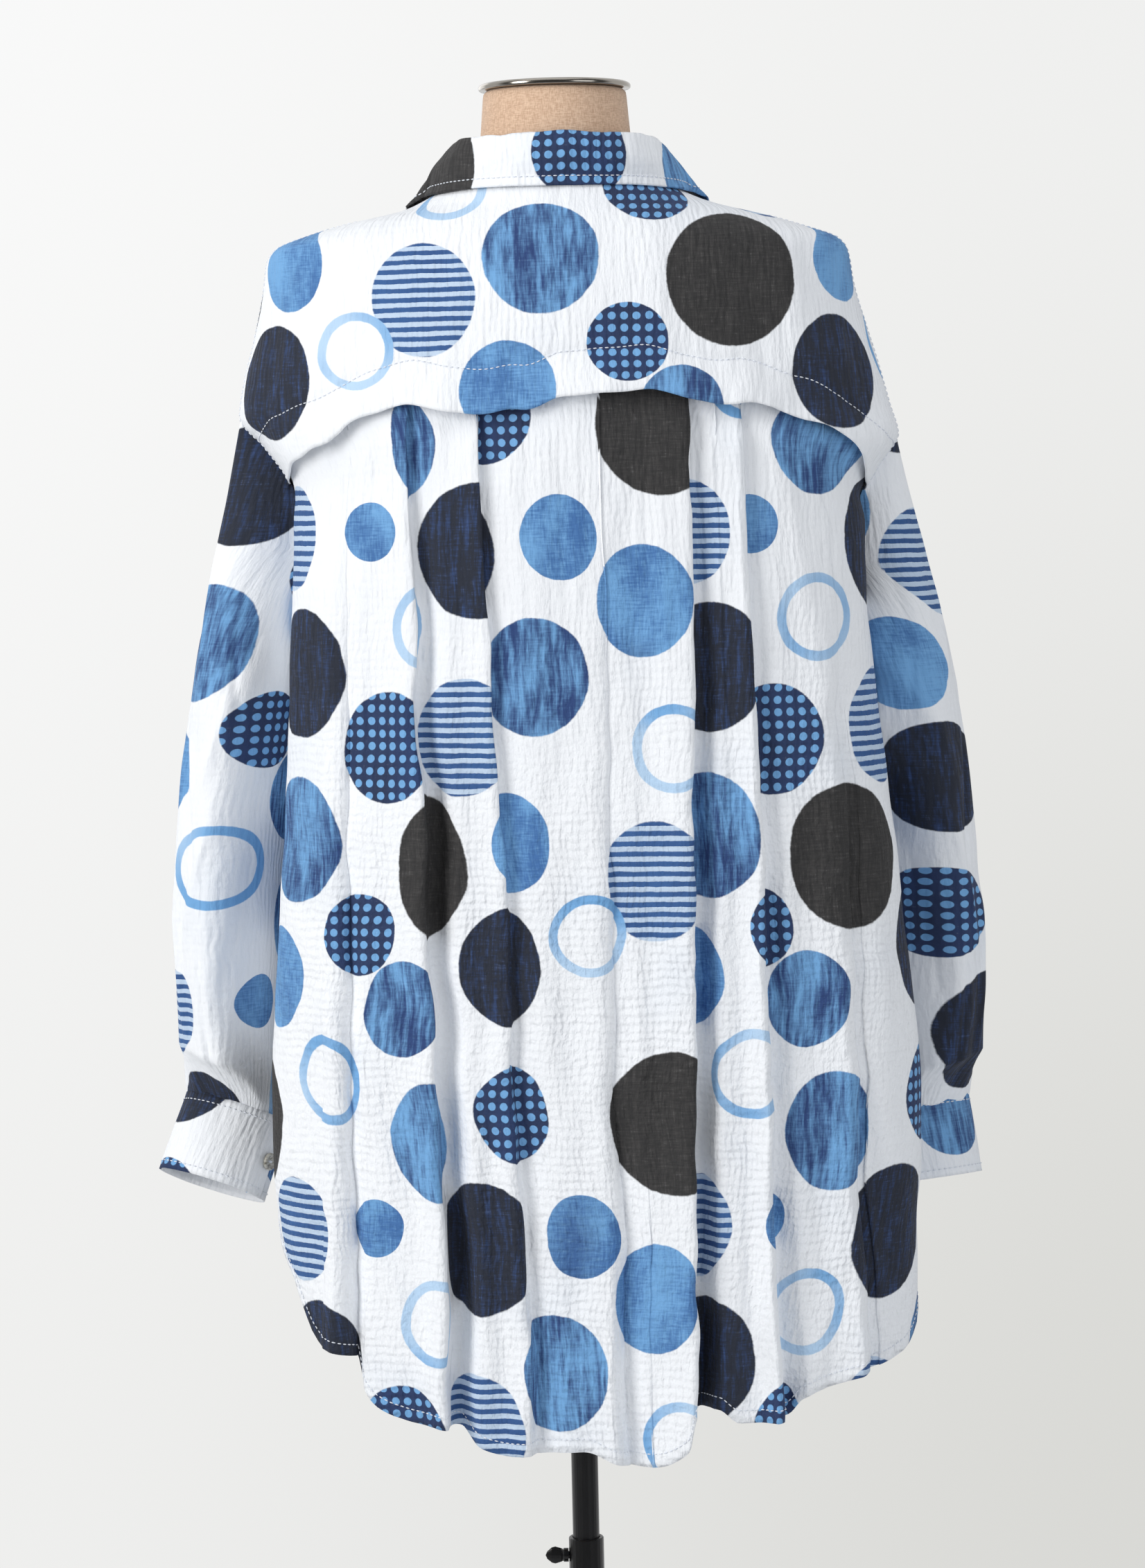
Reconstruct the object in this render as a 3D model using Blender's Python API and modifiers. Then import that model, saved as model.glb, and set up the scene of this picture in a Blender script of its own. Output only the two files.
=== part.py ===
"""Long-sleeved shirt-tunic of crinkled cotton, worn by a limbless dress form on a stand.

Metres, +Z up. The origin is the middle of the base plate's underside, on the pole's axis.
The garment's front faces -Y and its back +Y, and the wearer's left is +X.
Every cloth panel is a sheet laid on the body's horizontal sections and thickened inward.
A turn round the body is in degrees: 0 at centre back, +90 at the wearer's left, 180 in front.
"""
import math

import bmesh
import bpy
import numpy as np
from mathutils import Matrix, Vector

# Cloth
WALL = 0.0016
SEAM_GAP = 0.0005
LAP_GAP = 0.0006

# Body sections: outline of the hanging cloth at each height, from the shoulders to the hem
BODY_COLUMNS = ("height", "left_half", "right_half", "widest_y", "back_y", "front_y", "squareness")
BODY_SECTIONS = (
    (1.432, 0.074, 0.074, 0.000, 0.061, -0.060, 2.0),
    (1.424, 0.086, 0.087, 0.000, 0.067, -0.065, 2.0),
    (1.414, 0.107, 0.111, -0.002, 0.073, -0.069, 2.0),
    (1.405, 0.148, 0.148, -0.004, 0.081, -0.073, 2.0),
    (1.397, 0.177, 0.174, -0.005, 0.087, -0.077, 2.0),
    (1.389, 0.197, 0.196, -0.006, 0.092, -0.081, 2.0),
    (1.381, 0.203, 0.2025, -0.006, 0.096, -0.084, 2.0),
    (1.360, 0.207, 0.206, -0.006, 0.105, -0.091, 2.0),
    (1.327, 0.214, 0.215, -0.004, 0.115, -0.100, 2.0),
    (1.298, 0.221, 0.223, 0.000, 0.121, -0.107, 2.1),
    (1.273, 0.225, 0.229, 0.006, 0.125, -0.112, 2.1),
    (1.251, 0.208, 0.234, 0.014, 0.128, -0.116, 2.2),
    (1.228, 0.192, 0.219, 0.024, 0.130, -0.119, 2.2),
    (1.205, 0.187, 0.208, 0.034, 0.131, -0.121, 2.3),
    (1.150, 0.189, 0.208, 0.048, 0.132, -0.124, 2.3),
    (1.040, 0.195, 0.218, 0.050, 0.133, -0.124, 2.4),
    (0.920, 0.204, 0.230, 0.050, 0.135, -0.123, 2.5),
    (0.800, 0.212, 0.240, 0.050, 0.137, -0.125, 2.5),
    (0.755, 0.213, 0.240, 0.050, 0.138, -0.127, 2.5),
    (0.700, 0.209, 0.236, 0.050, 0.139, -0.128, 2.5),
    (0.620, 0.206, 0.235, 0.050, 0.140, -0.130, 2.5),
    (0.540, 0.204, 0.234, 0.050, 0.141, -0.131, 2.5),
)
FRONT_SQUARENESS = 2.2
SHOULDER_ROWS = (1.432, 1.424, 1.415, 1.406, 1.398, 1.391, 1.384, 1.373, 1.350, 1.318)
ARMHOLE_ROWS = (1.290, 1.271, 1.256, 1.241, 1.226, 1.200)
NECK_HEIGHT = 1.432
SIDE_TURN = 112.0

# Armholes: where the sleeve leaves the body, from the shoulder end down to the underarm
ARMHOLE_TOP = {1: 1.273, -1: 1.251}
ARMHOLE_DEPTH = 0.185
ARMHOLE_COLUMNS = ("share_of_depth", "turn_at_back", "turn_at_front")
ARMHOLE_EDGE = (
    (0.00, 90.0, 90.0),
    (0.12, 91.0, 100.0),
    (0.30, 94.0, 113.0),
    (0.50, 97.0, 123.0),
    (0.75, 102.0, 126.0),
    (0.90, 106.0, 121.0),
    (1.00, 112.0, 112.0),
)

# Yoke: a cape-like flap whose free edge hangs below the seam that holds the pleated back
FLAP_COLUMNS = ("turn", "height_of_free_edge")
FLAP_EDGE = (
    (-90.0, 1.212),
    (-75.0, 1.220),
    (-62.0, 1.238),
    (-53.0, 1.253),
    (-45.0, 1.261),
    (-37.0, 1.271),
    (-26.0, 1.274),
    (-15.0, 1.283),
    (0.0, 1.280),
    (7.0, 1.271),
    (15.0, 1.270),
    (27.0, 1.276),
    (33.0, 1.274),
    (43.0, 1.259),
    (57.0, 1.245),
    (80.0, 1.228),
    (90.0, 1.225),
)
FLAP_DROP = 0.030
FLAP_FLARE = 0.0055
FLAP_TUCK = 0.0026
FLAP_SIDE_TUCK = 0.0030

# Hems: shirt-tails, the back one longer
HEM_COLUMNS = ("turn", "height")
BACK_HEM = (
    (-112.0, 0.725),
    (-105.0, 0.690),
    (-90.0, 0.650),
    (-78.0, 0.628),
    (-66.0, 0.616),
    (-48.0, 0.603),
    (-40.0, 0.594),
    (-37.0, 0.582),
    (-27.0, 0.580),
    (-23.0, 0.590),
    (-19.0, 0.586),
    (-17.5, 0.564),
    (-11.0, 0.552),
    (-6.0, 0.555),
    (0.0, 0.564),
    (14.0, 0.562),
    (20.0, 0.567),
    (25.0, 0.580),
    (36.0, 0.586),
    (43.0, 0.594),
    (46.5, 0.604),
    (50.0, 0.628),
    (60.0, 0.636),
    (67.0, 0.655),
    (74.0, 0.680),
    (90.0, 0.708),
    (112.0, 0.735),
)
FRONT_HEM = (
    (112.0, 0.733),
    (122.0, 0.700),
    (135.0, 0.664),
    (150.0, 0.640),
    (165.0, 0.632),
    (185.0, 0.636),
)

# Folds of the pleated back: a lift is outward, a negative one a trough
FOLD_COLUMNS = ("x_at_top", "x_at_hem", "slope_left", "slope_right", "lift_top", "lift_mid", "lift_hem")
FOLD_TOP = 1.26
FOLD_HEM = 0.58
BACK_FOLDS = (
    (0.148, 0.160, 0.026, 0.013, 0.000, 0.006, 0.012),
    (0.135, 0.142, 0.010, 0.014, 0.000, -0.004, -0.010),
    (0.110, 0.112, 0.022, 0.013, 0.006, 0.010, 0.010),
    (0.094, 0.084, 0.013, 0.017, -0.004, -0.015, -0.018),
    (0.064, 0.050, 0.026, 0.010, 0.007, 0.004, 0.006),
    (0.046, 0.018, 0.018, 0.030, -0.002, -0.004, -0.006),
    (-0.012, -0.018, 0.030, 0.030, 0.000, 0.003, 0.005),
    (-0.040, -0.040, 0.018, 0.018, 0.000, -0.002, -0.005),
    (-0.078, -0.066, 0.030, 0.011, 0.007, 0.009, 0.012),
    (-0.094, -0.090, 0.012, 0.024, -0.004, -0.014, -0.024),
    (-0.117, -0.124, 0.020, 0.013, 0.007, 0.009, 0.013),
    (-0.138, -0.148, 0.012, 0.018, -0.002, -0.005, -0.009),
    (-0.172, -0.190, 0.026, 0.022, 0.000, 0.005, 0.009),
)
FRONT_FOLDS = (
    (0.135, 0.140, 0.022, 0.022, 0.002, 0.008, 0.011),
    (0.098, 0.096, 0.018, 0.018, 0.000, -0.006, -0.010),
    (0.062, 0.056, 0.022, 0.020, 0.003, 0.007, 0.009),
    (-0.058, -0.052, 0.020, 0.024, 0.003, 0.006, 0.010),
    (-0.098, -0.100, 0.020, 0.018, 0.000, -0.006, -0.011),
    (-0.140, -0.156, 0.024, 0.024, 0.002, 0.008, 0.012),
)

# Fronts and button band
FRONT_NECK_DROP = 0.070
BAND_WIDTH = 0.030
BAND_WALL = 0.0020
UNDERLAP = 0.013
UNDERLAP_DROP = 0.0036
FRONT_ROWS = 22

# Sleeves: outer and inner line of each hanging tube, seen square from the back
SLEEVE_COLUMNS = ("share", "outer_x", "outer_z", "inner_x", "inner_z", "middle_y", "half_depth", "twist")
SLEEVE_LEFT = (
    (0.00, 0.2260, 1.272, 0.1800, 1.087, -0.004, 0.038, 0.004),
    (0.08, 0.2330, 1.225, 0.1830, 1.068, -0.010, 0.050, 0.012),
    (0.17, 0.2400, 1.175, 0.1860, 1.045, -0.018, 0.060, 0.020),
    (0.30, 0.2530, 1.103, 0.1890, 1.010, -0.026, 0.066, 0.024),
    (0.46, 0.2670, 1.019, 0.1930, 0.960, -0.032, 0.067, 0.024),
    (0.60, 0.2735, 0.950, 0.1970, 0.910, -0.034, 0.066, 0.024),
    (0.75, 0.2755, 0.880, 0.2020, 0.854, -0.035, 0.063, 0.022),
    (0.86, 0.2765, 0.832, 0.2040, 0.812, -0.034, 0.058, 0.018),
)
SLEEVE_RIGHT = (
    (0.00, 0.2350, 1.250, 0.1930, 1.065, -0.004, 0.038, 0.004),
    (0.08, 0.2400, 1.215, 0.1950, 1.050, -0.014, 0.050, 0.012),
    (0.17, 0.2465, 1.178, 0.1965, 1.030, -0.026, 0.060, 0.020),
    (0.30, 0.2590, 1.112, 0.1980, 0.998, -0.040, 0.065, 0.028),
    (0.46, 0.2710, 1.018, 0.2000, 0.950, -0.050, 0.066, 0.032),
    (0.60, 0.2770, 0.938, 0.2020, 0.900, -0.060, 0.065, 0.034),
    (0.75, 0.2815, 0.862, 0.2070, 0.838, -0.066, 0.062, 0.032),
    (0.86, 0.2830, 0.812, 0.2080, 0.798, -0.067, 0.057, 0.026),
)
SLEEVE_OFF_BODY = 0.0042
SLEEVE_START_OFF = 0.0014
SLEEVE_LAP_GAP = 0.0007
SLEEVE_END_ABOVE = -0.28
SLEEVE_END_PUFF = 0.0035
SLEEVE_FOLD_COLUMNS = ("angle", "half_angle", "lift_top", "lift_middle", "lift_end")
SLEEVE_FOLDS = (
    (12.0, 26.0, 0.000, 0.002, 0.003),
    (62.0, 24.0, 0.002, -0.004, -0.005),
    (105.0, 30.0, 0.000, 0.005, 0.006),
    (205.0, 30.0, 0.000, -0.003, -0.004),
    (270.0, 30.0, 0.001, 0.005, 0.005),
    (322.0, 26.0, 0.000, -0.004, -0.004),
)
GATHER_WAVES = 10
GATHER_LIFT = 0.0034
GATHER_REACH = 0.16

# Cuffs: middle of the top edge, then the tilt of the ring
CUFF_HEIGHT = 0.058
CUFF_HALF_WIDTH = 0.038
CUFF_HALF_DEPTH = 0.031
CUFF_OVERLAP = 24.0
CUFF_BUTTON_ANGLE = 148.0
CUFFS = {
    1: {"top": (0.2435, -0.030, 0.780), "lean": 19.0, "tip": 11.0, "lap": 0.10},
    -1: {"top": (-0.2465, -0.069, 0.770), "lean": 7.0, "tip": 9.0, "lap": 0.24},
}

# Collar: a stand sewn round the neckline and a fall that turns over it
STAND_OVERLAP = 14.0
STAND_INSET = 0.0003
STAND_LIFT = 0.0012
STAND_COLUMNS = ("share_of_neck_in_degrees", "inward_lean", "rise")
STAND_RISE = (
    (0.0, 0.0010, 0.0285),
    (60.0, 0.0035, 0.0250),
    (90.0, 0.0060, 0.0205),
    (130.0, 0.0110, 0.0230),
    (180.0, 0.0130, 0.0260),
)
FALL_COLUMNS = ("share_of_neck_in_degrees", "x_of_edge", "height_of_edge")
FALL_EDGE = (
    (0.0, 0.000, 1.4235),
    (26.0, 0.044, 1.4235),
    (50.0, 0.077, 1.4220),
    (68.0, 0.098, 1.4195),
    (84.0, 0.107, 1.4120),
    (104.0, 0.108, 1.3880),
    (126.0, 0.098, 1.3550),
    (150.0, 0.080, 1.3270),
    (166.0, 0.064, 1.3100),
)
FALL_END = 166.0
FALL_SIDE = 75.0
FALL_CLEARANCE = 0.0040
FALL_ROLL = 0.0022
FALL_BULGE = 0.0030

# Buttons
BUTTON_RADIUS = 0.0063
BUTTON_THICKNESS = 0.0030
BUTTON_STAND_OFF = 0.0006
BUTTON_TOP_HEIGHT = 1.315
BUTTON_PITCH = 0.098
BUTTON_COUNT = 6

# Dress form
FORM_COLUMNS = ("height", "half_width", "back_y", "front_y")
FORM_SECTIONS = (
    (1.4948, 0.0475, 0.0475, -0.0475),
    (1.4925, 0.0497, 0.0497, -0.0497),
    (1.4880, 0.0503, 0.0503, -0.0503),
    (1.4630, 0.0524, 0.0524, -0.0520),
    (1.4460, 0.0555, 0.0530, -0.0520),
    (1.4350, 0.0630, 0.0535, -0.0522),
)
FORM_SHOULDER_COLUMNS = ("height", "inset_from_cloth", "back_y", "front_y")
FORM_SHOULDERS = (
    (1.428, 0.0130, 0.054, -0.052),
    (1.420, 0.0240, 0.057, -0.053),
    (1.412, 0.0160, 0.061, -0.054),
    (1.405, 0.0060, 0.067, -0.056),
    (1.398, 0.0002, 0.073, -0.058),
    (1.391, 0.0006, 0.078, -0.060),
)
FORM_SEAT_DROP = 0.0028
FORM_TORSO = (
    (1.383, 0.1945, 0.0830, -0.0630),
    (1.372, 0.1960, 0.0890, -0.0680),
    (1.350, 0.1950, 0.0960, -0.0780),
    (1.310, 0.1850, 0.1040, -0.0930),
    (1.250, 0.1700, 0.1060, -0.1040),
    (1.180, 0.1560, 0.1010, -0.1080),
    (1.100, 0.1430, 0.0880, -0.0980),
    (1.020, 0.1290, 0.0760, -0.0840),
    (0.940, 0.1380, 0.0900, -0.0870),
    (0.860, 0.1560, 0.1030, -0.0920),
    (0.800, 0.1600, 0.1010, -0.0900),
    (0.750, 0.1560, 0.0950, -0.0860),
    (0.735, 0.1520, 0.0910, -0.0830),
    (0.730, 0.1460, 0.0860, -0.0780),
)
FORM_CORNERS = 24
SOCKET_RADIUS = 0.0100
SOCKET_DEPTH = 0.050

# Neck cap
CAP_RADIUS = 0.0532
CAP_THICKNESS = 0.0048
CAP_TOP = 1.500

# Stand
BASE_RADIUS = 0.190
BASE_THICKNESS = 0.008
HUB_RADIUS = 0.024
HUB_HEIGHT = 0.030
OUTER_TUBE_RADIUS = 0.0125
OUTER_TUBE_BORE = 0.0100
OUTER_TUBE_TOP = 0.4700
POLE_RADIUS = 0.0095
POLE_BOTTOM = 0.290
SCREW_HEIGHT = 0.4570
SCREW_SHANK = 0.0028
SCREW_HOLE = 0.0032
WING_LENGTH = 0.0125
WING_HALF_HEIGHT = 0.0062
WING_HALF_THICKNESS = 0.0016
FIT = 0.0003
ROUND_STEPS = 28


def track(rows, column):
    """A smooth curve without overshoot through one column of a table, over its first column."""
    ordered = sorted(rows)
    keys = np.array([row[0] for row in ordered])
    values = np.array([row[column] for row in ordered])
    steps = np.diff(keys)
    slopes = np.diff(values) / steps
    bends = np.zeros(len(keys))
    bends[0] = slopes[0]
    bends[-1] = slopes[-1]
    for i in range(1, len(keys) - 1):
        if slopes[i - 1] * slopes[i] > 0.0:
            before = 2.0 * steps[i] + steps[i - 1]
            after = steps[i] + 2.0 * steps[i - 1]
            bends[i] = (before + after) / (before / slopes[i - 1] + after / slopes[i])

    def value(key):
        key = min(max(key, keys[0]), keys[-1])
        i = min(int(np.searchsorted(keys, key, side="right")) - 1, len(steps) - 1)
        t = (key - keys[i]) / steps[i]
        start = (1.0 + 2.0 * t) * (1.0 - t) ** 2 * values[i] + t * (1.0 - t) ** 2 * steps[i] * bends[i]
        end = t * t * (3.0 - 2.0 * t) * values[i + 1] + t * t * (t - 1.0) * steps[i] * bends[i + 1]
        return float(start + end)

    return value


def smooth(value):
    """Ease from 0 to 1 while the value goes from 0 to 1."""
    value = min(max(value, 0.0), 1.0)
    return value * value * (3.0 - 2.0 * value)


def mix(start, end, share):
    return start + (end - start) * share


body_half = {1: track(BODY_SECTIONS, 1), -1: track(BODY_SECTIONS, 2)}
body_widest = track(BODY_SECTIONS, 3)
body_back = track(BODY_SECTIONS, 4)
body_front = track(BODY_SECTIONS, 5)
body_squareness = track(BODY_SECTIONS, 6)
armhole_back = track(ARMHOLE_EDGE, 1)
armhole_front = track(ARMHOLE_EDGE, 2)
flap_edge = track(FLAP_EDGE, 1)
back_hem = track(BACK_HEM, 1)
front_hem = track(FRONT_HEM, 1)
stand_lean = track(STAND_RISE, 1)
stand_rise = track(STAND_RISE, 2)
fall_x = track(FALL_EDGE, 1)
fall_height = track(FALL_EDGE, 2)


def side_of(value):
    return -1 if value < 0.0 else 1


def surface_y(x, height, to_back):
    """Depth of the cloth's outer face at a place seen square from the back or the front."""
    half = body_half[side_of(x)](height)
    across = min(abs(x) / half, 1.0)
    middle = body_widest(height)
    if to_back:
        power = body_squareness(height)
        return middle + (body_back(height) - middle) * (1.0 - across ** power) ** (1.0 / power)
    power = FRONT_SQUARENESS
    return middle + (body_front(height) - middle) * (1.0 - across ** power) ** (1.0 / power)


def pushed(x, y, height, push):
    """A place on the body's section moved outward, square to the section."""
    if push == 0.0:
        return Vector((x, y, height))
    side = side_of(x)
    half = body_half[side](height)
    middle = body_widest(height)
    to_back = y >= middle
    power = body_squareness(height) if to_back else FRONT_SQUARENESS
    depth = (body_back(height) if to_back else body_front(height)) - middle
    across = min(abs(x) / half, 1.0)
    along = min(abs((y - middle) / depth), 1.0)
    normal = Vector((side * across ** (power - 1.0) / half, along ** (power - 1.0) / depth, 0.0))
    normal.normalize()
    return Vector((x, y, height)) + normal * push


def body_point(turn, height, push=0.0):
    """A point of the body's section at a turn and a height, moved outward by the push."""
    side = side_of(turn)
    x = side * body_half[side](height) * math.sin(math.radians(abs(turn)))
    return pushed(x, surface_y(x, height, abs(turn) <= 90.0), height, push)


def depth_share(height, side):
    """How far down the armhole a height is, from 0 at its top to 1 at the underarm."""
    return (ARMHOLE_TOP[side] - height) / ARMHOLE_DEPTH


def edge_turn(height, side, at_back):
    """Turn of a panel's side edge: shoulder seam, then armhole, then side seam."""
    share = min(max(depth_share(height, side), 0.0), 1.0)
    turn = armhole_back(share) if at_back else armhole_front(share)
    gap = math.degrees(SEAM_GAP / 2.0 / abs(body_front(height)))
    return turn - gap if at_back else turn + gap


def even_parameter(curve, end, count=300):
    """A curve's parameter, from 0 to its end, as a function of the share of the curve's length."""
    parameters = np.linspace(0.0, end, count)
    points = [curve(parameter) for parameter in parameters]
    lengths = np.cumsum([0.0] + [(b - a).length for a, b in zip(points, points[1:])])

    def value(share):
        return float(np.interp(share * lengths[-1], lengths, parameters))

    return value


def section_excess(point):
    """Below zero inside the body's section at the point's height, zero on it, above outside."""
    half = body_half[side_of(point.x)](point.z)
    middle = body_widest(point.z)
    to_back = point.y >= middle
    power = body_squareness(point.z) if to_back else FRONT_SQUARENESS
    depth = (body_back(point.z) if to_back else body_front(point.z)) - middle
    across = abs(point.x) / half
    along = abs((point.y - middle) / depth)
    return (across ** power + along ** power) ** (1.0 / power) - 1.0


def off_cloth(point, gap):
    """The point itself, or the nearest place that stands at least the gap off the body's cloth."""
    step = 0.0004
    for _ in range(5):
        excess = section_excess(point)
        slope = Vector([section_excess(point + Vector(axis) * step) - excess for axis in Matrix.Identity(3)])
        slope /= step
        short = gap - excess / slope.length
        if short <= 0.00002:
            break
        point = point + slope.normalized() * short
    return point


def row_height(shares, v):
    """Share of the way down for a row, through a list of shares that start the sheet."""
    at = v * (len(shares) - 1)
    i = min(int(at), len(shares) - 2)
    return mix(shares[i], shares[i + 1], at - i)


def neck_height(x):
    """Height of the front neckline where it passes a distance from the centre."""
    across = min(abs(x) / body_half[1](NECK_HEIGHT), 1.0)
    return NECK_HEIGHT - FRONT_NECK_DROP * math.sqrt(1.0 - across ** 2)


def neckline(turn):
    """Neck seam at a turn, level over the back and dipping in front."""
    x = side_of(turn) * body_half[1](NECK_HEIGHT) * math.sin(math.radians(abs(turn)))
    if abs(turn) <= 90.0:
        return Vector((x, surface_y(x, NECK_HEIGHT, True), NECK_HEIGHT))
    height = neck_height(x)
    return Vector((x, surface_y(x, height, False), height))


back_turn = even_parameter(lambda turn: body_point(turn, 0.90), SIDE_TURN)
yoke_turn = even_parameter(lambda turn: body_point(turn, 1.36), 90.0)
neck_turn = even_parameter(neckline, 180.0)
front_neck_sweep = even_parameter(lambda sweep: neckline(180.0 - sweep), 90.0)


def fold_lift(folds, x, height):
    """Sum of the folds that pass a place, each a rounded ridge or trough that leans and grows."""
    down = (FOLD_TOP - height) / (FOLD_TOP - FOLD_HEM)
    total = 0.0
    for x_top, x_hem, slope_left, slope_right, lift_top, lift_mid, lift_hem in folds:
        offset = x - mix(x_top, x_hem, down)
        reach = slope_left if offset > 0.0 else slope_right
        reach *= mix(0.85, 1.15, min(max(down, 0.0), 1.0))
        if abs(offset) < reach:
            if down < 0.5:
                lift = mix(lift_top, lift_mid, smooth(max(down, 0.0) * 2.0))
            else:
                lift = mix(lift_mid, lift_hem, smooth(down * 2.0 - 1.0))
            total += lift * (1.0 - (offset / reach) ** 2) ** 2
    return total


def back_place(u, v):
    """Pleated back, from the seam under the yoke's flap to the shirt-tail hem."""
    side = side_of(2.0 * u - 1.0)
    share = back_turn(abs(2.0 * u - 1.0)) / SIDE_TURN
    free_edge = flap_edge(side * share * 90.0)
    height = mix(free_edge + FLAP_DROP, back_hem(side * share * SIDE_TURN), v ** 1.12)
    turn = side * share * edge_turn(height, side, True)
    x = body_point(turn, height).x
    free = smooth((free_edge + FLAP_DROP - height) / (2.4 * FLAP_DROP))
    edge_ease = smooth((1.0 - share) / 0.12)
    lift = fold_lift(BACK_FOLDS, x, height) * free * edge_ease
    tuck = FLAP_TUCK + FLAP_SIDE_TUCK * smooth((share - 0.5) / 0.3)
    return body_point(turn, height, lift - tuck * (1.0 - smooth((free_edge - height) / 0.045)))


def yoke_place(u, v):
    """Yoke over the shoulders, with its free lower edge standing off the pleats."""
    side = side_of(2.0 * u - 1.0)
    share = yoke_turn(abs(2.0 * u - 1.0)) / 90.0
    free_edge = flap_edge(side * share * 90.0)
    lowest = flap_edge(side * 90.0)
    rows = [(NECK_HEIGHT - row) / (NECK_HEIGHT - lowest) for row in SHOULDER_ROWS + ARMHOLE_ROWS[:-2]]
    rows.append(1.0)
    height = mix(NECK_HEIGHT, free_edge, row_height(rows, v))
    turn = side * share * edge_turn(height, side, True)
    flare = FLAP_FLARE * smooth((free_edge + FLAP_DROP - height) / FLAP_DROP) * smooth((0.90 - share) / 0.22)
    return body_point(turn, height, flare)


def front_place(side, inner_x, drop, u, v):
    """Half of the front, from the neckline to its shirt-tail hem."""
    hem_height = front_hem(SIDE_TURN)
    rows = [(NECK_HEIGHT - row) / (NECK_HEIGHT - hem_height) for row in SHOULDER_ROWS + ARMHOLE_ROWS]
    last = rows[-1]
    more = FRONT_ROWS - len(rows) + 1
    rows += [mix(last, 1.0, (i + 1) / more) for i in range(more)]
    down = row_height(rows, v)
    edge_height = mix(NECK_HEIGHT, hem_height, down)
    end_turn = edge_turn(edge_height, side, False)
    edge_x = side * body_half[side](edge_height) * math.sin(math.radians(end_turn))
    sweep = mix(front_neck_sweep(u) / 90.0, u, smooth(down / 0.25))
    across = math.sin(math.radians(180.0 - (180.0 - end_turn) * sweep)) / math.sin(math.radians(end_turn))
    x = mix(inner_x, edge_x, across)
    neck_share = 1.0 - math.sqrt(1.0 - min(abs(x / edge_x), 1.0) ** 2)
    hem_turn = 180.0 - (180.0 - SIDE_TURN) * u
    hem_share = (front_hem(hem_turn) - front_hem(180.0)) / (hem_height - front_hem(180.0))
    share = mix(mix(neck_share, across ** 2, smooth(down / 0.12)), hem_share, smooth(down * 2.0 - 1.0))
    middle_height = mix(NECK_HEIGHT - FRONT_NECK_DROP, front_hem(180.0), down)
    height = mix(middle_height, edge_height, share)
    lift = fold_lift(FRONT_FOLDS, x, height) * smooth((1.0 - u) / 0.15)
    lift *= smooth((1.33 - height) / 0.20)
    near_band = 1.0 - smooth((abs(x) - BAND_WIDTH / 2.0 - 0.003) / 0.020)
    if side * x < 0.0:
        near_band = 1.0
    steep = 1.0 + 0.6 * smooth((height - 1.29) / 0.05)
    return pushed(x, surface_y(x, height, False), height, lift - drop * near_band * steep)


def band_place(u, v):
    """Button band on the front edge."""
    x = mix(-0.5, 0.5, u) * BAND_WIDTH
    height = mix(neck_height(x), front_hem(180.0), v)
    return pushed(x, surface_y(x, height, False), height, 0.0)


def armhole_loop(side, angle):
    """Point of the armhole seam, from its top (0) over the back (90) to the underarm (180)."""
    share = (1.0 - math.cos(math.radians(angle))) / 2.0
    height = ARMHOLE_TOP[side] - share * ARMHOLE_DEPTH
    turn = armhole_back(share) if angle <= 180.0 else armhole_front(share)
    return body_point(side * turn, height, SLEEVE_START_OFF)


def cuff_frame(side):
    """Middle of the cuff's top, its width and depth directions, and its axis."""
    cuff = CUFFS[side]
    turn = Matrix.Rotation(math.radians(-side * cuff["lean"]), 3, "Y")
    turn = turn @ Matrix.Rotation(math.radians(cuff["tip"]), 3, "X")
    return Vector(cuff["top"]), turn @ Vector((side, 0, 0)), turn @ Vector((0, 1, 0)), turn @ Vector((0, 0, -1))


def cuff_point(side, angle, down, push=0.0):
    """Point of the cuff's outer face at an angle round it and a share of its height."""
    top, width, depth, axis = cuff_frame(side)
    radians = math.radians(angle)
    flare = 1.0 + 0.04 * down
    ring = width * (CUFF_HALF_WIDTH * flare * math.cos(radians))
    ring += depth * (CUFF_HALF_DEPTH * flare * math.sin(radians))
    outward = width * math.cos(radians) / CUFF_HALF_WIDTH + depth * math.sin(radians) / CUFF_HALF_DEPTH
    return top + axis * (CUFF_HEIGHT * down) + ring + outward.normalized() * push


def wrapped(u, overlap):
    """Angle along a band that overlaps itself, and how far its under end lies inside."""
    angle = u * (360.0 + overlap)
    inside = (WALL + LAP_GAP + 0.0004) * (1.0 - smooth((angle - overlap - 4.0) / 16.0))
    return angle, -inside


def cuff_place(side, u, v):
    angle, push = wrapped(u, CUFF_OVERLAP)
    return cuff_point(side, CUFF_BUTTON_ANGLE - CUFF_OVERLAP * 0.6 + angle, v, push)


def sleeve_fold_lift(angle, share):
    total = 0.0
    for middle, half_angle, lift_top, lift_middle, lift_end in SLEEVE_FOLDS:
        offset = (angle - middle + 180.0) % 360.0 - 180.0
        if abs(offset) < half_angle:
            if share < 0.5:
                lift = mix(lift_top, lift_middle, smooth(share * 2.0))
            else:
                lift = mix(lift_middle, lift_end, smooth(share * 2.0 - 1.0))
            total += lift * (1.0 - (offset / half_angle) ** 2) ** 2
    return total


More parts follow.
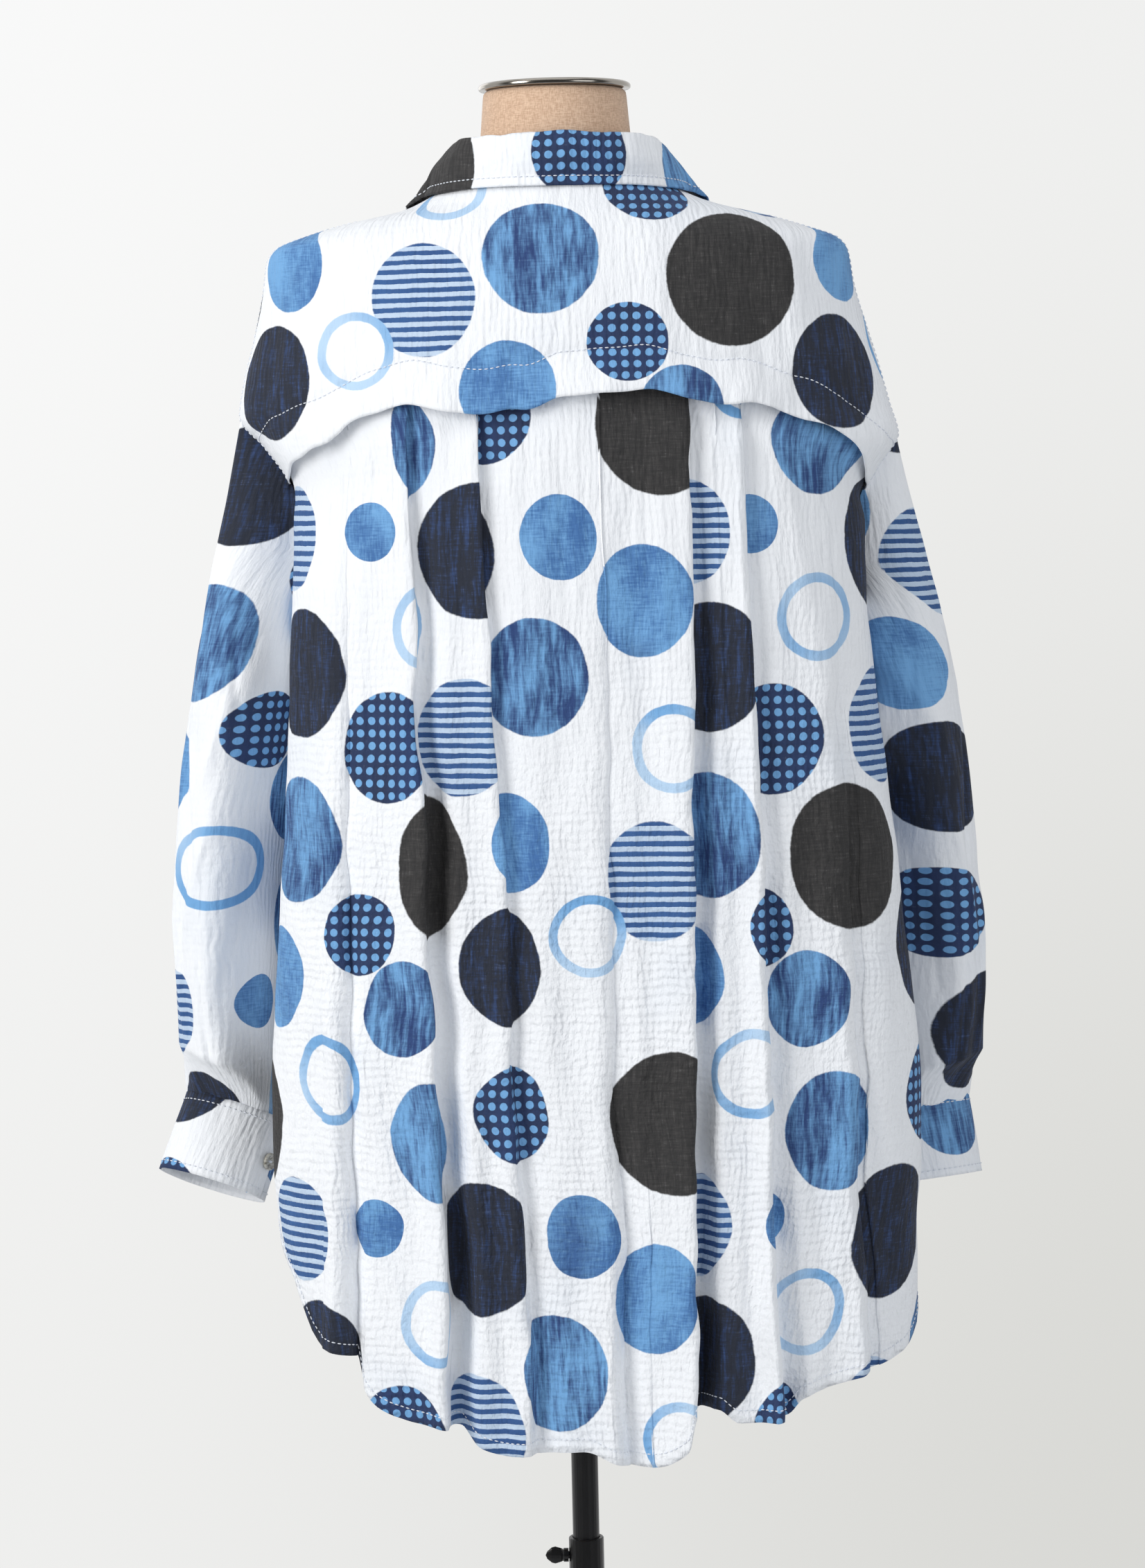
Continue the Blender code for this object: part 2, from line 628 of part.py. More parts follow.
def make_sleeve_place(side):
    rows = SLEEVE_LEFT if side > 0 else SLEEVE_RIGHT
    outer_x, outer_z, inner_x, inner_z, middle_y, half_depth, twist = (track(rows, i) for i in range(1, 8))
    last = rows[-1][0]

    def sleeve_place(u, v):
        """Sleeve from the armhole seam to its gathered end over the cuff's top edge."""
        angle = (360.0 * u) % 360.0
        radians = math.radians(angle)
        share = min(v, last)
        outer = Vector((side * outer_x(share), middle_y(share), outer_z(share)))
        inner = Vector((side * inner_x(share), middle_y(share), inner_z(share)))
        deep = Vector((side * twist(share), half_depth(share), 0.0))
        ring = (outer - inner) / 2.0 * math.cos(radians) + deep * math.sin(radians)
        lift = sleeve_fold_lift(angle, v) * smooth(v / 0.25)
        point = (outer + inner) / 2.0 + ring * (1.0 + lift / ring.length)
        start = armhole_loop(side, angle) + Vector((side * 0.0004, 0.0, -0.0008))
        point = start.lerp(point, smooth(v / 0.16))
        gather = GATHER_LIFT * (0.5 + 0.5 * math.cos(radians * GATHER_WAVES))
        gather *= smooth((v - 1.0 + GATHER_REACH) / GATHER_REACH)
        gap = max(SLEEVE_OFF_BODY * smooth(v / 0.10), SLEEVE_START_OFF)
        point = off_cloth(point + ring.normalized() * gather, gap)
        if v <= last:
            return point
        end_push = WALL + SLEEVE_LAP_GAP + gather
        end = cuff_point(side, angle, CUFFS[side]["lap"], end_push)
        above = cuff_point(side, angle, SLEEVE_END_ABOVE, end_push + SLEEVE_END_PUFF)
        down = (v - last) / (1.0 - last)
        if down <= 0.5:
            return off_cloth(point.lerp(above, smooth(down * 2.0)), SLEEVE_OFF_BODY)
        return off_cloth(above, SLEEVE_OFF_BODY).lerp(end, smooth(down * 2.0 - 1.0))

    return sleeve_place


def stand_curve(angle, up):
    """Outer face of the collar stand: up is 0 at the neck seam and 1 at its top edge."""
    angle = (angle + 180.0) % 360.0 - 180.0
    seam = neckline(side_of(angle) * neck_turn(abs(angle) / 180.0))
    away = Vector((seam.x, seam.y, 0.0)).normalized()
    top = seam - away * stand_lean(abs(angle)) + Vector((0.0, 0.0, stand_rise(abs(angle))))
    seam = seam - away * STAND_INSET + Vector((0.0, 0.0, STAND_LIFT))
    return seam.lerp(top, up), away


def stand_place(u, v):
    angle, push = wrapped(u, STAND_OVERLAP)
    point, away = stand_curve(180.0 - STAND_OVERLAP * 0.5 + angle, 1.0 - v)
    return point + away * push


def fall_place(u, v):
    """Collar fall, from the turned-over top of the stand down to its free edge."""
    angle = mix(-FALL_END, FALL_END, u)
    side = side_of(angle)
    start, away = stand_curve(angle, 1.0)
    start = start + away * (WALL + 2.0 * LAP_GAP)
    start.z += FALL_ROLL
    edge_x = side * fall_x(abs(angle))
    edge_z = fall_height(abs(angle))
    edge = Vector((edge_x, surface_y(edge_x, edge_z, abs(angle) < FALL_SIDE), edge_z))
    edge = off_cloth(edge, FALL_CLEARANCE)
    roll = away * (FALL_BULGE * math.sin(math.pi * min(v * 1.3, 1.0)))
    return off_cloth(start.lerp(edge, v) + roll, mix(-0.03, FALL_CLEARANCE, smooth(v / 0.35)))


def material(name, colour, roughness, metallic=0.0):
    made = bpy.data.materials.new(name)
    made.use_nodes = True
    shader = made.node_tree.nodes["Principled BSDF"]
    shader.inputs["Base Color"].default_value = (*colour, 1.0)
    shader.inputs["Roughness"].default_value = roughness
    shader.inputs["Metallic"].default_value = metallic
    return made


def add_object(name, mesh, finish, collection):
    data = bpy.data.meshes.new(name)
    mesh.to_mesh(data)
    mesh.free()
    data.materials.append(finish)
    made = bpy.data.objects.new(name, data)
    collection.objects.link(made)
    return made


def sheet(name, columns, rows, place, finish, collection, wall=WALL, tube=False, flip=False):
    """A cloth panel: a grid laid on its surface, thickened inward by its wall."""
    mesh = bmesh.new()
    bmesh.ops.create_grid(mesh, x_segments=columns, y_segments=rows, size=0.5)
    for vertex in mesh.verts:
        vertex.co = place(vertex.co.x + 0.5, vertex.co.y + 0.5)
    if tube:
        bmesh.ops.remove_doubles(mesh, verts=mesh.verts, dist=0.00001)
    if flip:
        bmesh.ops.reverse_faces(mesh, faces=mesh.faces)
    made = add_object(name, mesh, finish, collection)
    made.data.shade_smooth()
    thickness = made.modifiers.new("wall", "SOLIDIFY")
    thickness.thickness = wall
    thickness.offset = -1.0
    thickness.use_even_offset = True
    return made


def turned(name, profile, finish, collection, steps=ROUND_STEPS):
    """A turned solid: its profile runs down the outer side, from the axis back to the axis."""
    mesh = bmesh.new()
    points = [mesh.verts.new((radius, 0.0, height)) for radius, height in profile]
    for start, end in zip(points, points[1:]):
        mesh.edges.new((start, end))
    made = add_object(name, mesh, finish, collection)
    screw = made.modifiers.new("turn", "SCREW")
    screw.steps = steps
    screw.render_steps = steps
    screw.use_merge_vertices = True
    screw.merge_threshold = 0.00005
    screw.use_smooth_shade = True
    return made


def build_tunic(collection, cloth):
    sheet("back_panel", 50, 15, back_place, cloth, collection)
    sheet("back_yoke", 34, 14, yoke_place, cloth, collection)
    sheet("left_front", 14, FRONT_ROWS, lambda u, v: front_place(1, -UNDERLAP, UNDERLAP_DROP, u, v),
          cloth, collection, flip=True)
    sheet("right_front", 14, FRONT_ROWS, lambda u, v: front_place(-1, -BAND_WIDTH / 2.0 - SEAM_GAP, 0.0, u, v),
          cloth, collection)
    sheet("button_band", 2, 18, band_place, cloth, collection, wall=BAND_WALL, flip=True)
    for side, name in ((1, "left"), (-1, "right")):
        sheet(f"{name}_sleeve", 28, 14, make_sleeve_place(side), cloth, collection, tube=True, flip=side > 0)
        sheet(f"{name}_cuff", 28, 2, lambda u, v, s=side: cuff_place(s, u, v), cloth, collection,
              flip=side > 0)
    sheet("collar_stand", 34, 2, stand_place, cloth, collection)
    sheet("collar_fall", 36, 5, fall_place, cloth, collection)


def add_button(name, place, outward, finish, collection):
    """A shell button whose back lies just off the cloth."""
    rim = BUTTON_RADIUS
    thick = BUTTON_THICKNESS
    profile = [(0.0, thick * 0.72), (rim * 0.62, thick * 0.72), (rim * 0.86, thick),
               (rim, thick * 0.62), (rim * 0.90, 0.0), (0.0, 0.0)]
    made = turned(name, profile, finish, collection, steps=12)
    made.rotation_mode = "QUATERNION"
    made.rotation_quaternion = Vector((0, 0, 1)).rotation_difference(outward)
    made.location = place + outward.normalized() * BUTTON_STAND_OFF
    return made


def build_buttons(collection, shell):
    for i in range(BUTTON_COUNT):
        height = BUTTON_TOP_HEIGHT - i * BUTTON_PITCH
        place = Vector((0.0, surface_y(0.0, height, False), height))
        step = 0.01
        slope = surface_y(0.0, height + step, False) - surface_y(0.0, height - step, False)
        add_button(f"front_button_{i + 1}", place, Vector((0.0, -2.0 * step, slope)), shell, collection)
    collar_place = stand_curve(180.0, 0.5)[0]
    rise = stand_curve(180.0, 1.0)[0] - stand_curve(180.0, 0.0)[0]
    add_button("collar_button", collar_place, rise.cross(Vector((-1, 0, 0))), shell, collection)
    for side, name in ((1, "left"), (-1, "right")):
        place = cuff_point(side, CUFF_BUTTON_ANGLE, 0.55)
        outward = cuff_point(side, CUFF_BUTTON_ANGLE, 0.55, 0.01) - place
        add_button(f"{name}_cuff_button", place, outward, shell, collection)


def form_rows():
    """Neck, shoulders just under the tunic's shoulder line, and torso."""
    rows = list(FORM_SECTIONS)
    for height, inset, back, front in FORM_SHOULDERS:
        seat = height + FORM_SEAT_DROP
        rows.append((height, min(body_half[1](seat), body_half[-1](seat)) - inset, back, front))
    return rows + list(FORM_TORSO)


def build_form(collection, linen):
    """Limbless torso and neck, one closed body with a blind socket for the pole."""
    half, back, front = (track(form_rows(), i) for i in range(1, 4))
    heights = sorted((row[0] for row in form_rows()), reverse=True)
    rings = []
    mesh = bmesh.new()
    for height in heights:
        ring = []
        middle = body_widest(height) * 0.6
        for i in range(FORM_CORNERS):
            angle = 2.0 * math.pi * i / FORM_CORNERS
            reach = back(height) - middle if math.cos(angle) >= 0.0 else middle - front(height)
            x = half(height) * math.sin(angle)
            ring.append(mesh.verts.new((x, middle + reach * math.cos(angle), height)))
        rings.append(ring)
    floor = heights[-1]
    for height in (floor, floor + SOCKET_DEPTH):
        ring = []
        for i in range(FORM_CORNERS):
            angle = 2.0 * math.pi * i / FORM_CORNERS
            place = (SOCKET_RADIUS * math.sin(angle), SOCKET_RADIUS * math.cos(angle), height)
            ring.append(mesh.verts.new(place))
        rings.append(ring)
    for above, below in zip(rings, rings[1:]):
        for i in range(FORM_CORNERS):
            k = (i + 1) % FORM_CORNERS
            mesh.faces.new((above[i], above[k], below[k], below[i]))
    mesh.faces.new(reversed(rings[0]))
    mesh.faces.new(rings[-1])
    bmesh.ops.recalc_face_normals(mesh, faces=mesh.faces)
    form = add_object("dress_form", mesh, linen, collection)
    form.data.shade_smooth()


def build_cap(collection, chrome):
    under = CAP_TOP - CAP_THICKNESS
    profile = [(0.0, CAP_TOP), (CAP_RADIUS * 0.90, CAP_TOP - 0.0003), (CAP_RADIUS * 0.975, CAP_TOP - 0.0010),
               (CAP_RADIUS, CAP_TOP - 0.0022), (CAP_RADIUS, under + 0.0012), (CAP_RADIUS * 0.985, under),
               (0.0, under)]
    turned("neck_cap", profile, chrome, collection, steps=32)


def build_stand(collection, black, tube_black):
    hub_top = BASE_THICKNESS + HUB_HEIGHT
    base_profile = [
        (0.0, BASE_THICKNESS), (OUTER_TUBE_RADIUS + FIT, BASE_THICKNESS), (OUTER_TUBE_RADIUS + FIT, hub_top),
        (HUB_RADIUS - 0.003, hub_top), (HUB_RADIUS, hub_top - 0.003), (HUB_RADIUS + 0.002, BASE_THICKNESS + 0.003),
        (HUB_RADIUS + 0.006, BASE_THICKNESS), (BASE_RADIUS - 0.003, BASE_THICKNESS),
        (BASE_RADIUS, BASE_THICKNESS - 0.003), (BASE_RADIUS, 0.001), (BASE_RADIUS - 0.001, 0.0), (0.0, 0.0)]
    turned("base_plate", base_profile, black, collection)
    foot = BASE_THICKNESS + FIT
    floor = foot + 0.004
    tube_profile = [(0.0, floor), (OUTER_TUBE_BORE, floor), (OUTER_TUBE_BORE, OUTER_TUBE_TOP),
                    (OUTER_TUBE_RADIUS - 0.0006, OUTER_TUBE_TOP), (OUTER_TUBE_RADIUS, OUTER_TUBE_TOP - 0.0006),
                    (OUTER_TUBE_RADIUS, foot), (0.0, foot)]
    outer = turned("outer_tube", tube_profile, black, collection)
    cut = bmesh.new()
    bmesh.ops.create_cone(cut, cap_ends=True, segments=16, radius1=SCREW_HOLE, radius2=SCREW_HOLE, depth=0.012)
    cutter = add_object("screw_hole", cut, black, bpy.data.collections["cutters"])
    cutter.rotation_euler = (0.0, math.pi / 2.0, 0.0)
    cutter.location = (OUTER_TUBE_RADIUS, 0.0, SCREW_HEIGHT)
    cutter.hide_render = True
    cutter.display_type = "WIRE"
    hole = outer.modifiers.new("screw hole", "BOOLEAN")
    hole.operation = "DIFFERENCE"
    hole.object = cutter
    pole_top = FORM_TORSO[-1][0] + SOCKET_DEPTH - FIT
    pole_profile = [(0.0, pole_top), (POLE_RADIUS - 0.001, pole_top), (POLE_RADIUS, pole_top - 0.001),
                    (POLE_RADIUS, POLE_BOTTOM + 0.001), (POLE_RADIUS - 0.001, POLE_BOTTOM), (0.0, POLE_BOTTOM)]
    turned("inner_pole", pole_profile, tube_black, collection)


def build_thumb_screw(collection, black):
    """Thumb screw on the +X side: a shank whose tip meets the pole, a collar and a flat wing."""
    tip = POLE_RADIUS + FIT
    collar = OUTER_TUBE_RADIUS + 0.0004
    shank_end = collar + 0.0040
    wing_end = shank_end + WING_LENGTH
    profile = [(0.0, wing_end), (0.45, wing_end - 0.0012), (0.90, wing_end - 0.0045),
               (1.0, wing_end - 0.0070), (0.80, shank_end + 0.0012),
               (0.0042, shank_end), (0.0050, shank_end - 0.0008), (0.0050, collar),
               (SCREW_SHANK, collar), (SCREW_SHANK, tip), (0.0, tip)]
    mesh = bmesh.new()
    points = [mesh.verts.new((radius, 0.0, height)) for radius, height in profile]
    edges = [mesh.edges.new(pair) for pair in zip(points, points[1:])]
    bmesh.ops.spin(mesh, geom=points + edges, cent=(0, 0, 0), axis=(0, 0, 1), angle=2.0 * math.pi,
                   steps=16, use_merge=True)
    for vertex in mesh.verts:
        if vertex.co.z > shank_end + 0.0001:
            vertex.co.x *= WING_HALF_HEIGHT
            vertex.co.y *= WING_HALF_THICKNESS
    bmesh.ops.remove_doubles(mesh, verts=mesh.verts, dist=0.00001)
    bmesh.ops.recalc_face_normals(mesh, faces=mesh.faces)
    screw = add_object("thumb_screw", mesh, black, collection)
    screw.rotation_euler = (0.0, math.pi / 2.0, 0.0)
    screw.location = (0.0, 0.0, SCREW_HEIGHT)


def main():
    for old in list(bpy.data.objects):
        bpy.data.objects.remove(old, do_unlink=True)
    collection = bpy.data.collections.new("tunic_on_dress_form")
    cutters = bpy.data.collections.new("cutters")
    bpy.context.scene.collection.children.link(collection)
    bpy.context.scene.collection.children.link(cutters)
    cloth = material("crinkled_cotton", (0.86, 0.89, 0.94), 0.85)
    linen = material("form_linen", (0.66, 0.47, 0.33), 0.9)
    chrome = material("chrome", (0.72, 0.70, 0.68), 0.15, 1.0)
    black = material("black_paint", (0.01, 0.01, 0.01), 0.35)
    shell = material("shell_button", (0.28, 0.27, 0.24), 0.3)
    build_tunic(collection, cloth)
    build_buttons(collection, shell)
    build_form(collection, linen)
    build_cap(collection, chrome)
    build_stand(collection, black, black)
    build_thumb_screw(collection, black)


main()
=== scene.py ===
"""Long-sleeved printed gauze tunic, buttoned on a limbless dress form, seen from the back.

Metres, +Z up, origin in the middle of the base plate's underside. Back is +Y, wearer's left is +X.
Each cloth panel is a fine grid laid on the body's horizontal sections, with its folds, then given
its wall. Panels carry a UV map in metres along the cloth, which the print and the crinkle follow.
"""
import math

import bmesh
import bpy
import numpy as np
from mathutils import Matrix, Vector, noise


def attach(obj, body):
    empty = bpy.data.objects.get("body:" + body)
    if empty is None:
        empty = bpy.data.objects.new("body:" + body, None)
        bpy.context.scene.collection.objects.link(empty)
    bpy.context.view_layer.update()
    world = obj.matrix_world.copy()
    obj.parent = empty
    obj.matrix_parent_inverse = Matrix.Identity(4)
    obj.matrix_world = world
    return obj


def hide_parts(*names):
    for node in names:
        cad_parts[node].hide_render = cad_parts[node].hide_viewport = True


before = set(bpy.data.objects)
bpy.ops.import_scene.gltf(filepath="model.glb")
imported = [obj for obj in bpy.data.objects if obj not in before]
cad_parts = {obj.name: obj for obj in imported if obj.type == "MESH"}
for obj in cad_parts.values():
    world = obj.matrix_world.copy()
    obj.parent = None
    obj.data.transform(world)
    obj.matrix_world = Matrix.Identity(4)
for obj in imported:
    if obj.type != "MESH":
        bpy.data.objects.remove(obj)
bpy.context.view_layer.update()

# Cloth
WALL = 0.0009
CUFF_WALL = 0.0014
LAP_GAP = 0.0006

# Outline of the hanging cloth at each height
# (height, half width on the left and the right, y where it is widest, y of the back and the front,
# squareness of its back)
BODY_SECTIONS = (
    (1.432, 0.074, 0.074, 0.000, 0.061, -0.060, 2.0),
    (1.424, 0.086, 0.087, 0.000, 0.067, -0.065, 2.0),
    (1.414, 0.107, 0.111, -0.002, 0.073, -0.069, 2.0),
    (1.405, 0.148, 0.148, -0.004, 0.081, -0.073, 2.0),
    (1.397, 0.177, 0.174, -0.005, 0.087, -0.077, 2.0),
    (1.389, 0.197, 0.196, -0.006, 0.092, -0.081, 2.0),
    (1.381, 0.203, 0.2025, -0.006, 0.096, -0.084, 2.0),
    (1.360, 0.207, 0.206, -0.006, 0.105, -0.091, 2.0),
    (1.327, 0.214, 0.215, -0.004, 0.115, -0.100, 2.0),
    (1.298, 0.221, 0.223, 0.000, 0.121, -0.107, 2.1),
    (1.273, 0.225, 0.229, 0.006, 0.125, -0.112, 2.1),
    (1.251, 0.208, 0.234, 0.014, 0.128, -0.116, 2.2),
    (1.228, 0.192, 0.219, 0.024, 0.130, -0.119, 2.2),
    (1.205, 0.187, 0.208, 0.034, 0.131, -0.121, 2.3),
    (1.150, 0.189, 0.208, 0.048, 0.132, -0.124, 2.3),
    (1.040, 0.195, 0.218, 0.050, 0.133, -0.124, 2.4),
    (0.920, 0.204, 0.230, 0.050, 0.135, -0.123, 2.5),
    (0.800, 0.212, 0.240, 0.050, 0.137, -0.125, 2.5),
    (0.755, 0.213, 0.240, 0.050, 0.138, -0.127, 2.5),
    (0.700, 0.209, 0.236, 0.050, 0.139, -0.128, 2.5),
    (0.620, 0.206, 0.235, 0.050, 0.140, -0.130, 2.5),
    (0.540, 0.204, 0.234, 0.050, 0.141, -0.131, 2.5),
)
FRONT_SQUARENESS = 2.2
NECK_HEIGHT = 1.432
FRONT_NECK_DROP = 0.070
SIDE_TURN = 112.0
SEAM_GAP = 0.0005

# Armholes: share of the depth, turn of the seam at the back and at the front
ARMHOLE_TOP = {1: 1.273, -1: 1.251}
ARMHOLE_DEPTH = 0.185
ARMHOLE_EDGE = (
    (0.00, 90.0, 90.0),
    (0.12, 91.0, 100.0),
    (0.30, 94.0, 113.0),
    (0.50, 97.0, 123.0),
    (0.75, 102.0, 126.0),
    (0.90, 106.0, 121.0),
    (1.00, 112.0, 112.0),
)

# Yoke flap: turn and height of its free edge
FLAP_EDGE = (
    (-90.0, 1.212),
    (-75.0, 1.220),
    (-62.0, 1.238),
    (-53.0, 1.253),
    (-45.0, 1.261),
    (-37.0, 1.271),
    (-26.0, 1.274),
    (-15.0, 1.283),
    (0.0, 1.280),
    (7.0, 1.271),
    (15.0, 1.270),
    (27.0, 1.276),
    (33.0, 1.274),
    (43.0, 1.259),
    (57.0, 1.245),
    (80.0, 1.228),
    (90.0, 1.225),
)
FLAP_DROP = 0.030
FLAP_FLARE = 0.0055
FLAP_TUCK = 0.0036
YOKE_ROW_POWER = 1.15

# Hems: turn and height
BACK_HEM = (
    (-112.0, 0.725),
    (-105.0, 0.690),
    (-90.0, 0.650),
    (-78.0, 0.628),
    (-66.0, 0.616),
    (-48.0, 0.603),
    (-40.0, 0.594),
    (-37.0, 0.582),
    (-27.0, 0.580),
    (-23.0, 0.590),
    (-19.0, 0.586),
    (-17.5, 0.564),
    (-11.0, 0.552),
    (-6.0, 0.555),
    (0.0, 0.564),
    (14.0, 0.562),
    (20.0, 0.567),
    (25.0, 0.580),
    (36.0, 0.586),
    (43.0, 0.594),
    (46.5, 0.604),
    (50.0, 0.628),
    (60.0, 0.636),
    (67.0, 0.655),
    (74.0, 0.680),
    (90.0, 0.708),
    (112.0, 0.735),
)
FRONT_HEM = (
    (112.0, 0.733),
    (122.0, 0.700),
    (135.0, 0.664),
    (150.0, 0.640),
    (165.0, 0.632),
    (185.0, 0.636),
)


def track(rows, column):
    """A smooth curve without overshoot through one column of a table, over its first column."""
    ordered = sorted(rows)
    keys = np.array([row[0] for row in ordered])
    values = np.array([row[column] for row in ordered])
    steps = np.diff(keys)
    slopes = np.diff(values) / steps
    bends = np.zeros(len(keys))
    bends[0] = slopes[0]
    bends[-1] = slopes[-1]
    for i in range(1, len(keys) - 1):
        if slopes[i - 1] * slopes[i] > 0.0:
            before = 2.0 * steps[i] + steps[i - 1]
            after = steps[i] + 2.0 * steps[i - 1]
            bends[i] = (before + after) / (before / slopes[i - 1] + after / slopes[i])
    keys, values, steps, bends = (list(map(float, each)) for each in (keys, values, steps, bends))

    def value(key):
        key = min(max(key, keys[0]), keys[-1])
        i = 0
        last = len(steps) - 1
        while i < last and key >= keys[i + 1]:
            i += 1
        t = (key - keys[i]) / steps[i]
        start = (1.0 + 2.0 * t) * (1.0 - t) ** 2 * values[i] + t * (1.0 - t) ** 2 * steps[i] * bends[i]
        end = t * t * (3.0 - 2.0 * t) * values[i + 1] + t * t * (t - 1.0) * steps[i] * bends[i + 1]
        return start + end

    return value


def smooth(value):
    """Ease from 0 to 1 while the value goes from 0 to 1."""
    value = min(max(value, 0.0), 1.0)
    return value * value * (3.0 - 2.0 * value)


def mix(start, end, share):
    return start + (end - start) * share


def side_of(value):
    return -1 if value < 0.0 else 1


body_half = {1: track(BODY_SECTIONS, 1), -1: track(BODY_SECTIONS, 2)}
body_widest = track(BODY_SECTIONS, 3)
body_back = track(BODY_SECTIONS, 4)
body_front = track(BODY_SECTIONS, 5)
body_squareness = track(BODY_SECTIONS, 6)
armhole_back = track(ARMHOLE_EDGE, 1)
armhole_front = track(ARMHOLE_EDGE, 2)
flap_edge = track(FLAP_EDGE, 1)
back_hem = track(BACK_HEM, 1)
front_hem = track(FRONT_HEM, 1)


def section(height, middle, to_back):
    """Depth of the body's section from its middle to its back or its front, and its squareness."""
    if to_back:
        return body_back(height) - middle, body_squareness(height)
    return body_front(height) - middle, FRONT_SQUARENESS


def surface_y(x, height, to_back):
    """Depth of the cloth's outer face at a place seen square from the back or the front."""
    across = min(abs(x) / body_half[side_of(x)](height), 1.0)
    middle = body_widest(height)
    depth, power = section(height, middle, to_back)
    return middle + depth * (1.0 - across ** power) ** (1.0 / power)


def pushed(x, y, height, push):
    """A place on the body's section moved outward, square to the section."""
    half = body_half[side_of(x)](height)
    middle = body_widest(height)
    depth, power = section(height, middle, y >= middle)
    across = min(abs(x) / half, 1.0)
    along = min(abs((y - middle) / depth), 1.0)
    normal = Vector((side_of(x) * across ** (power - 1.0) / half, along ** (power - 1.0) / depth, 0.0))
    normal.normalize()
    return Vector((x, y, height)) + normal * push


def body_point(turn, height, push=0.0):
    """A point of the body's section at a turn and a height, moved outward by the push."""
    side = side_of(turn)
    x = side * body_half[side](height) * math.sin(math.radians(abs(turn)))
    return pushed(x, surface_y(x, height, abs(turn) <= 90.0), height, push)


def edge_turn(height, side, at_back):
    """Turn of a panel's side edge: shoulder seam, then armhole, then side seam."""
    share = min(max((ARMHOLE_TOP[side] - height) / ARMHOLE_DEPTH, 0.0), 1.0)
    turn = armhole_back(share) if at_back else armhole_front(share)
    gap = math.degrees(SEAM_GAP / 2.0 / abs(body_front(height)))
    return turn - gap if at_back else turn + gap


def even_parameter(curve, end, count=300):
    """A curve's parameter, from 0 to its end, as a function of the share of the curve's length."""
    parameters = np.linspace(0.0, end, count)
    points = [curve(parameter) for parameter in parameters]
    lengths = np.cumsum([0.0] + [(b - a).length for a, b in zip(points, points[1:])])
    return lambda share: float(np.interp(share * lengths[-1], lengths, parameters))


def section_excess(point):
    """Below zero inside the body's section at the point's height, zero on it, above outside."""
    half = body_half[side_of(point.x)](point.z)
    middle = body_widest(point.z)
    depth, power = section(point.z, middle, point.y >= middle)
    return ((abs(point.x) / half) ** power + abs((point.y - middle) / depth) ** power) ** (1.0 / power) - 1.0


AXES = (Vector((1, 0, 0)), Vector((0, 1, 0)), Vector((0, 0, 1)))
PROBE_STEP = 0.0004
NEAR_ENOUGH = 0.00004


def way_off_cloth(point):
    """Distance of a point from the body's cloth, and the direction straight away from it."""
    excess = section_excess(point)
    slope = Vector([section_excess(point + axis * PROBE_STEP) - excess for axis in AXES]) / PROBE_STEP
    return excess / slope.length, slope.normalized()


def off_cloth(point, gap):
    """The point itself, or the nearest place that stands at least the gap off the body's cloth."""
    for _ in range(4):
        distance, outward = way_off_cloth(point)
        if gap - distance <= NEAR_ENOUGH:
            break
        point = point + outward * (gap - distance)
    return point


def onto_cloth(point, depth):
    """The point moved square to the body's cloth until it lies at a depth on it."""
    for _ in range(3):
        distance, outward = way_off_cloth(point)
        point = point + outward * (depth - distance)
    return point


def neck_height(x):
    across = min(abs(x) / body_half[1](NECK_HEIGHT), 1.0)
    return NECK_HEIGHT - FRONT_NECK_DROP * math.sqrt(1.0 - across ** 2)


def neckline(turn):
    """Neck seam at a turn, level over the back and dipping in front."""
    x = side_of(turn) * body_half[1](NECK_HEIGHT) * math.sin(math.radians(abs(turn)))
    if abs(turn) <= 90.0:
        return Vector((x, surface_y(x, NECK_HEIGHT, True), NECK_HEIGHT))
    height = neck_height(x)
    return Vector((x, surface_y(x, height, False), height))


yoke_turn = even_parameter(lambda turn: body_point(turn, 1.36), 90.0)
neck_turn = even_parameter(neckline, 180.0)
front_neck_sweep = even_parameter(lambda sweep: neckline(180.0 - sweep), 90.0)


# Creases: soft folds drawn from one place to another on a panel, each with a width and a lift
CREASE_SHARPNESS = 2.2
CREASE_OVERRUN = 0.25
CREASE_RISE = 2.2
CREASE_REACH = 1.5


def crease_shape(along, aside, overrun, rise):
    """Share of a crease's lift at a share along it and a count of widths aside."""
    ends = smooth((along + overrun) * rise) * smooth((1.0 + overrun - along) * rise)
    return ends * math.exp(-CREASE_SHARPNESS * aside * aside)


def crease_lift(creases, x, height):
    total = 0.0
    for x0, z0, x1, z1, width, lift in creases:
        if abs(x - (x0 + x1) / 2.0) > abs(x1 - x0) / 2.0 + width * 1.6:
            continue
        dx, dz = x1 - x0, z1 - z0
        length2 = dx * dx + dz * dz
        along = ((x - x0) * dx + (height - z0) * dz) / length2
        aside = ((x - x0) * dz - (height - z0) * dx) / math.sqrt(length2) / width
        if -CREASE_OVERRUN < along < 1.0 + CREASE_OVERRUN and abs(aside) < CREASE_REACH:
            total += lift * crease_shape(along, aside, CREASE_OVERRUN, CREASE_RISE)
    return total


def ridge(offset, reach):
    """Share of a rounded fold's height at an offset from its middle."""
    return (1.0 - (offset / reach) ** 2) ** 2


def by_share(start, middle, end, share):
    """A size given at the start, in the middle and at the end, at any share between."""
    if share < 0.5:
        return mix(start, middle, smooth(share * 2.0))
    return mix(middle, end, smooth(share * 2.0 - 1.0))


def bump_at(offset, width):
    """A rounded bump of height 1 that fades over the width on each side."""
    return math.exp(-(offset / width) ** 2)


def noise_at(size, seed, u, v=0.0, v_size=1.0):
    """Smooth noise from -1 to 1 whose lumps have a size along u, and another along v."""
    return noise.noise(Vector((u / size, v / v_size, seed)))


